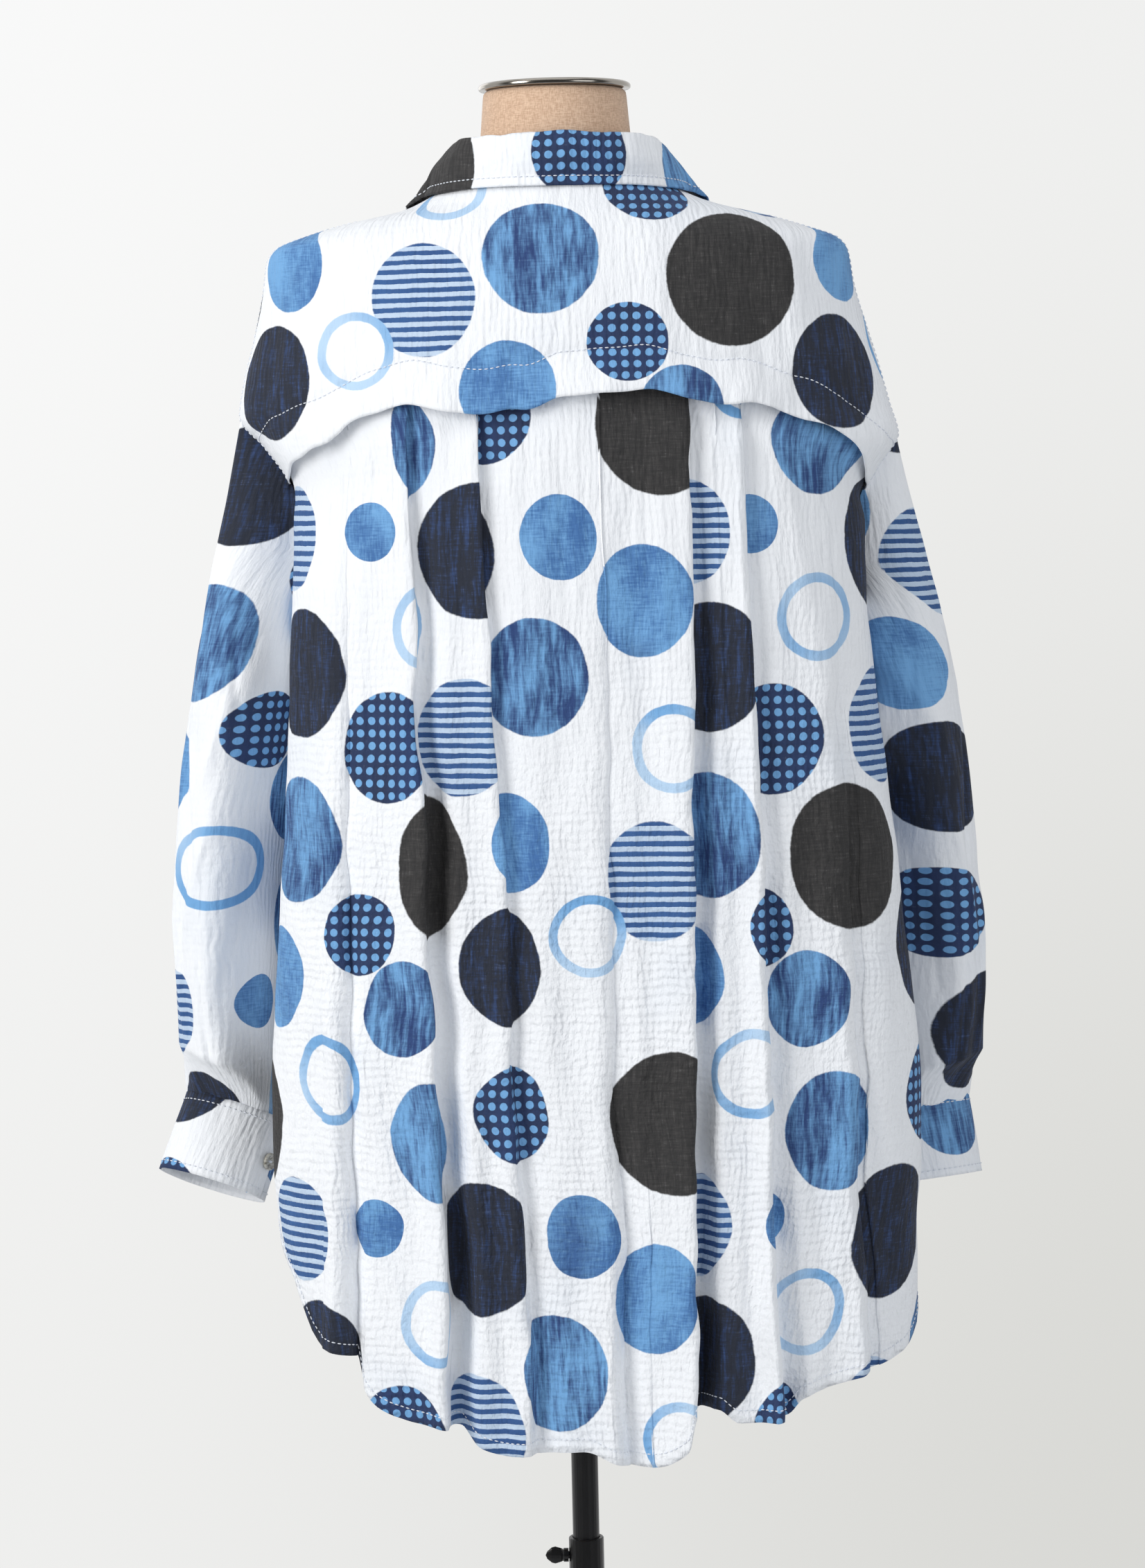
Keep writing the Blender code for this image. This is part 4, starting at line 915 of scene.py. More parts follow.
def fall_place(u, v):
    """Collar fall, from the turned-over top of the stand down to its free edge."""
    angle = mix(-FALL_END, FALL_END, u)
    start, away = stand_curve(angle, 1.0)
    start = start + away * (0.0016 + 2.0 * LAP_GAP)
    start.z += FALL_ROLL + 0.0016 * noise_at(19.0, 6.5, angle) + 0.0007 * noise_at(6.0, 2.5, angle)
    edge_x = side_of(angle) * fall_x(abs(angle))
    edge_z = fall_height(abs(angle))
    edge = Vector((edge_x, surface_y(edge_x, edge_z, abs(angle) < FALL_SIDE), edge_z))
    edge = off_cloth(edge, FALL_CLEARANCE)
    roll = away * (FALL_BULGE * math.sin(math.pi * min(v * 1.3, 1.0)))
    wave = 0.0018 * noise_at(26.0, 3.5, angle, v * 1.2) * smooth(v / 0.3)
    wave += 0.0012 * noise_at(8.0, 9.5, angle, v * 2.2) * smooth(v / 0.15)
    wave += 0.0006 * noise_at(3.2, 1.5, angle, v * 4.0)
    wave -= 0.0007 * bump_at((1.0 - v) * FALL_DEPTH - FALL_SEAM_IN, 0.0018)
    point = off_cloth(start.lerp(edge, v) + roll, mix(-0.03, FALL_CLEARANCE, smooth(v / 0.35)))
    return point + away * wave


# Materials
class Value:
    """A socket in a finish. Working with it adds the Math nodes of the expression."""

    def __init__(self, finish, socket):
        self.finish = finish
        self.socket = socket

    def math(self, operation, *others):
        values = dict(enumerate((self, *others)))
        return self.finish.node("Math", {"operation": operation}, values)

    def __add__(self, other):
        return self.math("ADD", other)

    def __sub__(self, other):
        return self.math("SUBTRACT", other)

    def __rsub__(self, other):
        return self.finish.node("Math", {"operation": "SUBTRACT"}, {0: other, 1: self})

    def __mul__(self, other):
        return self.math("MULTIPLY", other)

    def __truediv__(self, other):
        return self.math("DIVIDE", other)

    __radd__ = __add__
    __rmul__ = __mul__


class Shading:
    """A node tree, with one method that adds any node to it and short names for those used often."""

    def __init__(self, tree):
        self.tree = tree

    def feed(self, socket, value):
        if isinstance(value, Value):
            self.tree.links.new(value.socket, socket)
        else:
            socket.default_value = value

    def node(self, kind, settings=None, values=None, output=0):
        made = self.tree.nodes.new("ShaderNode" + kind)
        for setting, choice in (settings or {}).items():
            if setting == "stops":
                ramp = made.color_ramp
                while len(ramp.elements) < len(choice):
                    ramp.elements.new(0.5)
                for element, (position, colour) in zip(ramp.elements, choice):
                    element.position = position
                    element.color = (*colour, 1.0)
            else:
                setattr(made, setting, choice)
        for socket, value in (values or {}).items():
            self.feed(made.inputs[socket], value)
        return Value(self, made.outputs[output])

    def on_object(self):
        return self.node("TexCoord", None, None, 3)

    def axis(self, place, number):
        return self.node("SeparateXYZ", None, {0: place}, number)

    def noise(self, place, scale, detail=2.0, roughness=0.5):
        values = {"Vector": place, "Scale": scale, "Detail": detail, "Roughness": roughness}
        return self.node("TexNoise", None, values)

    def streaks(self, place, scale, detail=3.0, roughness=0.5):
        """Noise scaled by its own number along each axis."""
        stretched = self.node("Mapping", None, {"Vector": place, "Scale": scale})
        return self.noise(stretched, 1.0, detail, roughness)

    def between(self, value, low, high):
        """0 where the value is at or below low, rising to 1 at high."""
        settings = {"interpolation_type": "SMOOTHSTEP"}
        return self.node("MapRange", settings, {"Value": value, "From Min": low, "From Max": high})

    def blend(self, first, second, share):
        colours = [colour if isinstance(colour, Value) else (*colour, 1.0) for colour in (first, second)]
        return self.node("Mix", {"data_type": "RGBA"}, {0: share, 6: colours[0], 7: colours[1]}, 2)

    def bump(self, height, distance, strength=1.0, under=None):
        values = {"Height": height, "Distance": distance, "Strength": strength}
        if under:
            values["Normal"] = under
        return self.node("Bump", None, values)


class Finish(Shading):
    """A material with one shader."""

    def __init__(self, name, colour, roughness, **constants):
        self.material = bpy.data.materials.new(name)
        self.material.use_nodes = True
        super().__init__(self.material.node_tree)
        self.shader = self.tree.nodes["Principled BSDF"]
        self.give("Base Color", (*colour, 1.0))
        self.give("Roughness", roughness)
        for socket, value in constants.items():
            self.give(socket.replace("_", " "), value)

    def give(self, socket, value):
        self.feed(self.shader.inputs[socket], value)


# Print: generic spots in several fillings, repeated over the cloth, in metres of cloth
REPEAT_ACROSS = 0.415
REPEAT_DOWN = 0.475
# Spots: place across and down, half width, half height, filling
SPOTS = (
    (0.046, 0.052, 0.046, 0.049, "charcoal"),
    (0.150, 0.020, 0.031, 0.031, "ringed"),
    (0.235, 0.062, 0.036, 0.041, "brushed"),
    (0.338, 0.044, 0.034, 0.034, "dotted"),
    (0.104, 0.126, 0.033, 0.036, "striped"),
    (0.182, 0.122, 0.020, 0.020, "sky"),
    (0.300, 0.136, 0.044, 0.046, "navy"),
    (0.388, 0.128, 0.026, 0.029, "sky"),
    (0.030, 0.172, 0.034, 0.038, "sky"),
    (0.228, 0.186, 0.030, 0.030, "ringed"),
    (0.120, 0.218, 0.042, 0.044, "navy"),
    (0.368, 0.222, 0.037, 0.040, "brushed"),
    (0.196, 0.268, 0.035, 0.038, "dotted"),
    (0.292, 0.262, 0.037, 0.040, "striped"),
    (0.050, 0.272, 0.030, 0.030, "ringed"),
    (0.118, 0.332, 0.040, 0.043, "brushed"),
    (0.250, 0.350, 0.047, 0.050, "charcoal"),
    (0.346, 0.334, 0.031, 0.034, "sky"),
    (0.036, 0.362, 0.037, 0.041, "striped"),
    (0.176, 0.396, 0.028, 0.028, "dotted"),
    (0.330, 0.418, 0.038, 0.041, "navy"),
    (0.402, 0.398, 0.028, 0.028, "ringed"),
    (0.094, 0.428, 0.033, 0.035, "sky"),
    (0.212, 0.446, 0.030, 0.033, "brushed"),
)
GROUND = (0.86, 0.885, 0.925)
# Bluish painted shade of the white ground
GROUND_PAINTED_SHADE = (0.80, 0.84, 0.90)
GROUND_HATCH = (0.72, 0.74, 0.78)
CHARCOAL = (0.019, 0.0180, 0.0180)
CHARCOAL_HATCH = (0.046, 0.043, 0.042)
NAVY = (0.0075, 0.012, 0.027)
NAVY_HATCH = (0.024, 0.062, 0.190)
INDIGO = (0.012, 0.045, 0.170)
DENIM = (0.040, 0.140, 0.370)
SKY = (0.160, 0.380, 0.690)
PALE = (0.460, 0.640, 0.850)
STRIPE_GROUND = (0.50, 0.62, 0.78)
STRIPES_PER_METRE = 145.0
DOTS_PER_METRE = 118.0
RIBS_PER_METRE = 222.0
BARS_PER_METRE = 168.0


def print_fillings(finish, place, hatch, drift, wobble):
    """Colour of each filling of the spots, over the whole cloth."""
    across, down = finish.axis(place, 0), finish.axis(place, 1)
    streak = finish.streaks(place, (260.0, 30.0, 1.0), 3.0, 0.6)
    cloud = finish.streaks(place, (26.0, 12.0, 1.0), 3.0, 0.6)
    dark_hatch = finish.between(hatch * 0.7 + streak * 0.3, 0.42, 0.66)
    blue_hatch = finish.between(streak * 0.5 + hatch * 0.5, 0.46, 0.70)
    brush = finish.between(streak * 0.4 + cloud * 0.4 + hatch * 0.2, 0.41, 0.61)
    sky = finish.blend(DENIM, SKY, finish.between(cloud * 0.55 + hatch * 0.45, 0.38, 0.60))
    stripes = finish.between((down * STRIPES_PER_METRE + wobble * 0.35).math("FRACT"), 0.46, 0.56)
    dot_across = (across * DOTS_PER_METRE + wobble * 0.2).math("FRACT") - 0.5
    dot_down = (down * DOTS_PER_METRE + wobble * 0.2).math("FRACT") - 0.5
    dots = finish.between(dot_across * dot_across + dot_down * dot_down, 0.085, 0.125)
    return {
        "charcoal": finish.blend(CHARCOAL, CHARCOAL_HATCH, dark_hatch),
        "navy": finish.blend(NAVY, NAVY_HATCH, blue_hatch),
        "brushed": finish.blend(INDIGO, SKY, brush),
        "sky": finish.blend(sky, INDIGO, finish.between(drift, 0.50, 0.72) * 0.6),
        "striped": finish.blend(finish.blend(INDIGO, DENIM, cloud), STRIPE_GROUND, stripes),
        "dotted": finish.blend(SKY, finish.blend(NAVY, INDIGO, cloud), dots),
        "ringed": finish.blend(PALE, SKY, finish.between(drift, 0.42, 0.62)),
    }


def crinkle(finish, place, drift):
    """Puckers and ribs of double gauze, flatter and squarer toward the hem."""
    across, down = finish.axis(place, 0), finish.axis(place, 1)
    bend = finish.noise(place, 30.0, 2.0) * 0.9
    rib = ((across * RIBS_PER_METRE + bend * 3.0) * math.tau).math("SINE")
    bar = ((down * BARS_PER_METRE + bend * 2.0) * math.tau).math("SINE")
    pucker = finish.streaks(place, (190.0, 34.0, 1.0), 3.0, 0.6)
    dimple = finish.streaks(place, (210.0, 170.0, 1.0), 2.0, 0.6)
    uneven = finish.between(drift, 0.35, 0.65) * 0.7 + 0.3
    low = finish.between(down, -0.10, -0.42)
    relief = pucker * 1.1 + dimple * (0.35 + low * 0.9) + (rib * 0.10 + bar * (low * 0.14 + 0.04)) * uneven
    weave = finish.streaks(place, (1500.0, 1500.0, 1.0), 1.0)
    return finish.bump(weave, 0.00020, 0.35, finish.bump(relief, 0.0020, 0.72))


def cloth_finish():
    """Crinkled double gauze with its print."""
    finish = Finish("printed gauze", GROUND, 0.88, Sheen_Weight=0.04, Sheen_Roughness=0.5,
                    Specular_IOR_Level=0.25)
    place = finish.node("UVMap", {"uv_map": "cloth"})
    across, down = finish.axis(place, 0), finish.axis(place, 1)
    drift = finish.noise(place, 9.0, 2.0)
    thread = finish.streaks(place, (760.0, 90.0, 1.0), 3.0, 0.6)
    weft = finish.streaks(place, (90.0, 760.0, 1.0), 3.0, 0.6)
    hatch = thread * 0.5 + weft * 0.5
    wobble = finish.noise(place, 46.0, 4.0, 0.75) - 0.5
    fillings = print_fillings(finish, place, hatch, drift, wobble)

    # White ground blended toward a bluish painted shade, in random blotches of the drift noise
    colour = finish.blend(GROUND, GROUND_PAINTED_SHADE, finish.between(drift, 0.52, 0.80))
    for spot_across, spot_down, half_width, half_height, filling in SPOTS:
        aside = (across - spot_across).math("WRAP", REPEAT_ACROSS / 2.0, -REPEAT_ACROSS / 2.0) / half_width
        below = (down + spot_down).math("WRAP", REPEAT_DOWN / 2.0, -REPEAT_DOWN / 2.0) / half_height
        reach = (aside * aside + below * below).math("SQRT") + wobble * 0.075
        inside = 1.0 - finish.between(reach, 0.985, 1.015)
        if filling == "ringed":
            inside = inside * finish.between(reach, 0.76, 0.79)
        colour = finish.blend(colour, fillings[filling], inside * 0.98)
    colour = finish.blend(colour, GROUND_HATCH, finish.between(hatch, 0.56, 0.80) * 0.12)
    finish.give("Base Color", colour)
    finish.give("Normal", crinkle(finish, place, drift))
    return finish.material


# Colours of thread, shell, linen and nickel. The nickel's are darker than the metal's own colour, as painted
# dark reflections
THREAD_LIGHT = (0.84, 0.87, 0.92)
THREAD_DARK = (0.66, 0.70, 0.78)
SHELL_LAYERS = ((0.30, (0.13, 0.12, 0.10)), (0.52, (0.34, 0.33, 0.29)), (0.75, (0.55, 0.56, 0.55)))
LINEN_DARK = (0.56, 0.365, 0.245)
LINEN_LIGHT = (0.76, 0.545, 0.390)
LINEN_SLUB = (0.86, 0.66, 0.49)
NICKEL_REFLECTION_DARK = (0.24, 0.22, 0.19)
NICKEL_REFLECTION_LIGHT = (0.40, 0.38, 0.35)


def thread_finish():
    finish = Finish("sewing thread", (0.80, 0.83, 0.88), 0.75, Sheen_Weight=0.1)
    twist = finish.noise(finish.on_object(), 1800.0, 2.0)
    finish.give("Base Color", finish.blend(THREAD_LIGHT, THREAD_DARK, twist))
    finish.give("Normal", finish.bump(twist, 0.00012, 0.6))
    return finish.material


def shell_finish():
    finish = Finish("grey shell", (0.30, 0.29, 0.26), 0.28, Coat_Weight=0.35, Coat_Roughness=0.12)
    layers = finish.streaks(finish.on_object(), (240.0, 240.0, 700.0), 4.0, 0.6)
    finish.give("Base Color", finish.node("ValToRGB", {"stops": SHELL_LAYERS}, {0: layers}))
    finish.give("Roughness", layers * 0.25 + 0.15)
    finish.give("Normal", finish.bump(layers, 0.0002, 0.25))
    return finish.material


def linen_finish():
    """Plain woven cover of the dress form."""
    finish = Finish("form linen", (0.66, 0.47, 0.33), 0.86, Sheen_Weight=0.2, Sheen_Roughness=0.5)
    place = finish.on_object()
    warp = finish.streaks(place, (1300.0, 1300.0, 260.0), 2.0)
    weft = finish.streaks(place, (260.0, 260.0, 1700.0), 2.0)
    slub = finish.streaks(place, (60.0, 60.0, 420.0), 3.0)
    weave = warp * 0.5 + weft * 0.5
    colour = finish.blend(LINEN_DARK, LINEN_LIGHT, finish.between(weave, 0.36, 0.64))
    colour = finish.blend(colour, LINEN_SLUB, finish.between(slub, 0.58, 0.80) * 0.25)
    finish.give("Base Color", colour)
    finish.give("Normal", finish.bump(weave, 0.0006, 0.8))
    return finish.material


def chrome_finish():
    finish = Finish("polished nickel", (0.55, 0.53, 0.50), 0.16, Metallic=1.0)
    place = finish.on_object()
    rub = finish.streaks(place, (40.0, 40.0, 900.0), 4.0, 0.6)
    haze = finish.noise(place, 35.0, 3.0)
    # Nickel's own colour darkened into painted dark reflections, mottled by the haze
    finish.give("Base Color", finish.blend(NICKEL_REFLECTION_DARK, NICKEL_REFLECTION_LIGHT, haze))
    finish.give("Roughness", rub * 0.16 + haze * 0.10 + 0.04)
    finish.give("Normal", finish.bump(rub, 0.00008, 0.3))
    return finish.material


def paint_finish(name, colour, roughness):
    """Baked black paint, finely orange-peeled, with duller rubs."""
    finish = Finish(name, colour, roughness, Coat_Weight=0.08, Coat_Roughness=0.2, Specular_IOR_Level=0.28)
    place = finish.on_object()
    peel = finish.noise(place, 900.0, 2.0)
    rubs = finish.streaks(place, (50.0, 50.0, 9.0), 4.0, 0.65)
    lighter = tuple(0.012 + 1.6 * part for part in colour)
    finish.give("Base Color", finish.blend(colour, lighter, finish.between(rubs, 0.55, 0.85) * 0.6))
    finish.give("Roughness", finish.between(rubs, 0.35, 0.85) * 0.25 + (roughness - 0.08))
    finish.give("Normal", finish.bump(peel, 0.00010, 0.35))
    return finish.material


cloth = cloth_finish()
thread = thread_finish()
shell = shell_finish()
linen = linen_finish()
chrome = chrome_finish()
black = paint_finish("black paint", (0.006, 0.006, 0.0065), 0.38)
pole_black = paint_finish("pole paint", (0.010, 0.010, 0.011), 0.42)


# Cloth sheets
def add_object(name, mesh, finish, smooth_faces=True):
    data = bpy.data.meshes.new(name)
    mesh.to_mesh(data)
    mesh.free()
    data.materials.append(finish)
    made = bpy.data.objects.new(name, data)
    bpy.context.scene.collection.objects.link(made)
    if smooth_faces:
        data.shade_smooth()
    return made


def add_worn(name, mesh, finish, node=None):
    """A piece that turns with the dressed form, in place of the node that it stands for."""
    made = add_object(name, mesh, finish)
    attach(made, "dressed_form")
    if node:
        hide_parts(node)
    return made


# Cloth folded away under the edge of each fold, at the top
PLEAT_HIDDEN = (0.0, 0.034, 0.026, 0.0, 0.036, 0.024, 0.0)
PLEAT_EDGE = range(sum(FOLD_SPANS[:3]), sum(FOLD_SPANS[:5]))


def hidden_cloth(column, v):
    """Cloth folded away under a knife pleat's edge, added to the print's place at that edge."""
    fold, at = divmod(column - sum(FIRST_SPANS), sum(FOLD_SPANS))
    if 0 <= fold < len(PLEAT_HIDDEN) and at in PLEAT_EDGE:
        return PLEAT_HIDDEN[fold] / len(PLEAT_EDGE) * (1.0 - 0.65 * smooth(v / 0.85))
    return 0.0


def cloth_map(rows_of_points, upright, pleated):
    """Place of each point on the flat cloth: across from the middle column, and down."""
    rows = len(rows_of_points) - 1
    columns = len(rows_of_points[0]) - 1
    centre = columns // 2
    centre_down = [0.0]
    for above, below in zip(rows_of_points, rows_of_points[1:]):
        centre_down.append(centre_down[-1] + (below[centre] - above[centre]).length)
    top, bottom = rows_of_points[0][centre].z, rows_of_points[-1][centre].z
    falls = [top - row[centre].z for row in rows_of_points]

    def depth(height):
        inside = min(max(height, bottom), top)
        return float(np.interp(top - inside, falls, centre_down)) + inside - height

    across, down = [], []
    for r, row in enumerate(rows_of_points):
        steps_across = []
        for c in range(columns):
            step = row[c + 1] - row[c]
            length = math.hypot(step.x, step.y) if upright else step.length
            steps_across.append(length + (hidden_cloth(c, r / rows) if pleated else 0.0))
        places = np.concatenate(([0.0], np.cumsum(steps_across)))
        across.append(places - places[centre])
        if upright:
            down.append([-depth(point.z) for point in row])
        elif r:
            above = rows_of_points[r - 1]
            down.append([down[-1][c] - (row[c] - above[c]).length for c in range(columns + 1)])
        else:
            down.append([0.0] * (columns + 1))
    return across, down


SLEEVE_PRINT_RADIUS = 0.061
SLEEVE_PRINT_AXIS_INWARD = 0.013
SLEEVE_PRINT_SLOPE = 1.04


def sleeve_map(rows_of_points):
    """Place of each point on the sleeve's cloth: round its own axis from the outer side, and down."""
    columns = len(rows_of_points[0]) - 1
    middles = [sum(row[:-1], Vector()) / columns for row in rows_of_points]
    side = side_of(middles[0].x)
    falls = [-middle.z for middle in middles]
    axis_x = [middle.x - side * SLEEVE_PRINT_AXIS_INWARD for middle in middles]
    axis_y = [middle.y for middle in middles]
    across, down = [], []
    for row in rows_of_points:
        places = []
        for c, point in enumerate(row):
            out = side * (point.x - np.interp(-point.z, falls, axis_x))
            turn = math.atan2(point.y - np.interp(-point.z, falls, axis_y), out)
            expected = math.tau * (c / columns - 0.5)
            turn += math.tau * round((expected - turn) / math.tau)
            places.append(turn * SLEEVE_PRINT_RADIUS)
        across.append(places)
        down.append([(point.z - rows_of_points[0][0].z) * SLEEVE_PRINT_SLOPE for point in row])
    return across, down


def cloth_mesh(rows_of_points, shift, tube, flip, upright, pleated):
    """A grid laid on its rows of points, with its UV map in metres of cloth."""
    rows = len(rows_of_points) - 1
    columns = len(rows_of_points[0]) - 1
    across, down = sleeve_map(rows_of_points) if tube else cloth_map(rows_of_points, upright, pleated)
    mesh = bmesh.new()
    bmesh.ops.create_grid(mesh, x_segments=columns, y_segments=rows, size=0.5)
    uv = mesh.loops.layers.uv.new("cloth")
    for face in mesh.faces:
        for loop in face.loops:
            c = round((loop.vert.co.x + 0.5) * columns)
            r = round((loop.vert.co.y + 0.5) * rows)
            loop[uv].uv = (across[r][c] + shift[0], down[r][c] + shift[1])
    for vertex in mesh.verts:
        c = round((vertex.co.x + 0.5) * columns)
        r = round((vertex.co.y + 0.5) * rows)
        vertex.co = rows_of_points[r][c]
    if tube:
        bmesh.ops.remove_doubles(mesh, verts=mesh.verts, dist=0.000001)
    if flip:
        bmesh.ops.reverse_faces(mesh, faces=mesh.faces)
    return mesh


# Garment
pieces = {}


def tunic_piece(name, rows_of_points, shift=(0.0, 0.0), wall=WALL, tube=False, flip=False, upright=True,
                pleated=False):
    """A sewn panel, thickened inward. The shift slides its print."""
    mesh = cloth_mesh(rows_of_points, shift, tube, flip, upright, pleated)
    made = add_worn(name + "_cloth", mesh, cloth, name)
    thickness = made.modifiers.new("wall", "SOLIDIFY")
    thickness.thickness = wall
    thickness.offset = -1.0
    thickness.use_even_offset = False
    pieces[name] = (made, rows_of_points)


def left_front_place(u, v):
    return front_place(1, -UNDERLAP, UNDERLAP_DROP, u, v)


def right_front_place(u, v):
    return front_place(-1, -BAND_WIDTH / 2.0 - SEAM_GAP, 0.0, u, v)


tunic_piece("back_panel", back_points(140), flip=True, pleated=True)
tunic_piece("back_yoke", panel(84, 210, yoke_place), flip=True, shift=(0.13, 0.21))
tunic_piece("left_front", panel(130, 92, left_front_place), flip=True, shift=(0.21, 0.08))
tunic_piece("right_front", panel(130, 92, right_front_place), shift=(0.05, 0.16))
tunic_piece("button_band", panel(120, 14, band_place), flip=True, wall=CUFF_WALL, upright=False,
            shift=(0.33, 0.05))
for side, word in ((1, "left"), (-1, "right")):
    tunic_piece(f"{word}_sleeve", sleeve_points(side, 120, 132), tube=True, flip=side > 0,
                shift=(0.08 if side > 0 else 0.27, 0.11))
    tunic_piece(f"{word}_cuff", panel(16, 110, lambda u, v: cuff_place(side, u, v)), flip=side > 0,
                wall=CUFF_WALL, upright=False, shift=(0.30 if side > 0 else 0.16, 0.04))
tunic_piece("collar_stand", panel(8, 130, stand_place), upright=False, shift=(0.02, 0.31), wall=CUFF_WALL)
tunic_piece("collar_fall", panel(24, 170, fall_place), upright=False, shift=(0.355, -0.029), wall=CUFF_WALL)


def on_sheet(rows_of_points, u, v):
    """Point on a panel's outer face at shares across and down."""
    r = min(max(v, 0.0), 1.0) * (len(rows_of_points) - 1)
    c = min(max(u, 0.0), 1.0) * (len(rows_of_points[0]) - 1)
    r0, c0 = min(int(r), len(rows_of_points) - 2), min(int(c), len(rows_of_points[0]) - 2)
    above = rows_of_points[r0][c0].lerp(rows_of_points[r0][c0 + 1], c - c0)
    below = rows_of_points[r0 + 1][c0].lerp(rows_of_points[r0 + 1][c0 + 1], c - c0)
    return above.lerp(below, r - r0)


STITCH_PITCH = 0.0040
STITCH_HALF_LENGTH = 0.00160
STITCH_HALF_WIDTH = 0.00046
STITCH_RAISED = 0.7


def add_stitches(mesh, rows_of_points, path, outside):
    """Thread beads along a path of shares (u, v) on a panel, at an even pitch."""
    fine = [on_sheet(rows_of_points, u, v) for u, v in path]
    lengths = [0.0]
    for start, end in zip(fine, fine[1:]):
        lengths.append(lengths[-1] + (end - start).length)
    count = max(int(lengths[-1] / STITCH_PITCH), 1)
    k = 0
    for i in range(count):
        at = (i + 0.5) * lengths[-1] / count
        while lengths[k + 1] < at:
            k += 1
        t = (at - lengths[k]) / (lengths[k + 1] - lengths[k])
        u, v = (mix(a, b, t) for a, b in zip(path[k], path[k + 1]))
        along = (fine[k + 1] - fine[k]).normalized()
        outward = facing(rows_of_points, u, v, 0.004) * outside
        aside = outward.cross(along).normalized()
        place = on_sheet(rows_of_points, u, v) + outward * STITCH_HALF_WIDTH * STITCH_RAISED
        columns = (along * STITCH_HALF_LENGTH, aside * STITCH_HALF_WIDTH, outward * STITCH_HALF_WIDTH, place)
        matrix = Matrix([[column[row] for column in columns] for row in range(3)] + [[0.0, 0.0, 0.0, 1.0]])
        bmesh.ops.create_icosphere(mesh, subdivisions=1, radius=1.0, matrix=matrix)


def steps(start, end, count):
    return [mix(start, end, i / count) for i in range(count + 1)]


def level_seam(v, start, end, count):
    return [(u, v) for u in steps(start, end, count)]


def upright_seam(u, start, end, count):
    return [(u, v) for v in steps(start, end, count)]


def yoke_seam_share(u):
    """How far down the yoke its seam over the pleats is, at a share of the way across."""
    across = 1.0 - 2.0 * u
    free_edge = flap_edge(side_of(across) * yoke_turn(abs(across)))
    return ((NECK_HEIGHT - free_edge - FLAP_DROP) / (NECK_HEIGHT - free_edge)) ** (1.0 / YOKE_ROW_POWER)


HEM_SEAM = 0.9885
SEAMS = {
    "back_panel": [level_seam(HEM_SEAM, 0.002, 0.998, 400)],
    "back_yoke": [
        [(u, yoke_seam_share(u)) for u in steps(0.012, 0.988, 300)],
        upright_seam(0.009, 0.16, 0.99, 60),
        upright_seam(0.991, 0.16, 0.99, 60),
    ],
    "left_front": [level_seam(HEM_SEAM, 0.03, 0.99, 120)],
    "right_front": [level_seam(HEM_SEAM, 0.03, 0.99, 120)],
    "button_band": [upright_seam(u, 0.01, 0.99, 200) for u in (0.11, 0.89)],
    "left_cuff": [level_seam(v, 0.02, 0.98, 120) for v in (0.095, 0.905)],
    "right_cuff": [level_seam(v, 0.02, 0.98, 120) for v in (0.095, 0.905)],
    "collar_fall": [upright_seam(0.012, 0.10, 0.83, 30) + level_seam(0.83, 0.012, 0.988, 300)
                    + upright_seam(0.988, 0.83, 0.10, 30)],
}


def facing(rows_of_points, u, v, step):
    """Direction square to a panel at a place, on one of its two sides."""
    across = on_sheet(rows_of_points, u + step, v) - on_sheet(rows_of_points, u - step, v)
    down = on_sheet(rows_of_points, u, v + step) - on_sheet(rows_of_points, u, v - step)
    return across.cross(down).normalized()


def add_seams():
    for name, paths in SEAMS.items():
        mesh = bmesh.new()
        rows_of_points = pieces[name][1]
        middle = on_sheet(rows_of_points, 0.5, 0.5)
        centre = Vector((0.0, 0.0, middle.z))
        if "cuff" in name:
            centre = Vector(CUFFS[1 if name.startswith("left") else -1]["top"])
        outside = side_of(facing(rows_of_points, 0.5, 0.5, 0.01).dot(middle - centre))
        for path in paths:
            add_stitches(mesh, rows_of_points, path, outside)
        add_worn(name + "_stitches", mesh, thread)


add_seams()

# What each panel's visible cloth was cut to: width, length, area where it isn't a rectangle, and
# what it hangs from
CUTS = (
    ("back_panel", 0.800, 0.760, 0.487, "back_yoke_cloth"),
    ("back_yoke", 0.540, 0.235, 0.101, "dress_form_cover"),
    ("left_front", 0.270, 0.830, 0.188, "dress_form_cover"),
    ("right_front", 0.260, 0.830, 0.181, "dress_form_cover"),
    ("button_band", 0.030, 0.735, None, "left_front_cloth"),
    ("left_sleeve", 0.340, 0.500, 0.146, "back_yoke_cloth"),
    ("right_sleeve", 0.340, 0.500, 0.146, "back_yoke_cloth"),
    ("left_cuff", 0.240, 0.058, None, "left_sleeve_cloth"),
    ("right_cuff", 0.240, 0.058, None, "right_sleeve_cloth"),
    ("collar_stand", 0.560, 0.030, 0.0123, "back_yoke_cloth"),
    ("collar_fall", 0.650, 0.062, 0.0291, "collar_stand_cloth"),
)


def state_cuts():
    for name, width, length, area, hangs_from in CUTS:
        sewn = [bpy.data.objects[name + "_stitches"]] if name in SEAMS else []


# Buttons: dished shell with two holes and thread through them
BUTTON_RADIUS = 0.0063
BUTTON_THICKNESS = 0.0030
BUTTON_STAND_OFF = 0.0006
BUTTON_TOP_HEIGHT = 1.315
BUTTON_PITCH = 0.098
BUTTON_TURNS = (90, 82, 95, 88, 99, 85)
BUTTON_HOLE_RADIUS = 0.00085
BUTTON_HOLE_OFFSET = 0.00155
BUTTON_CORNERS = 40


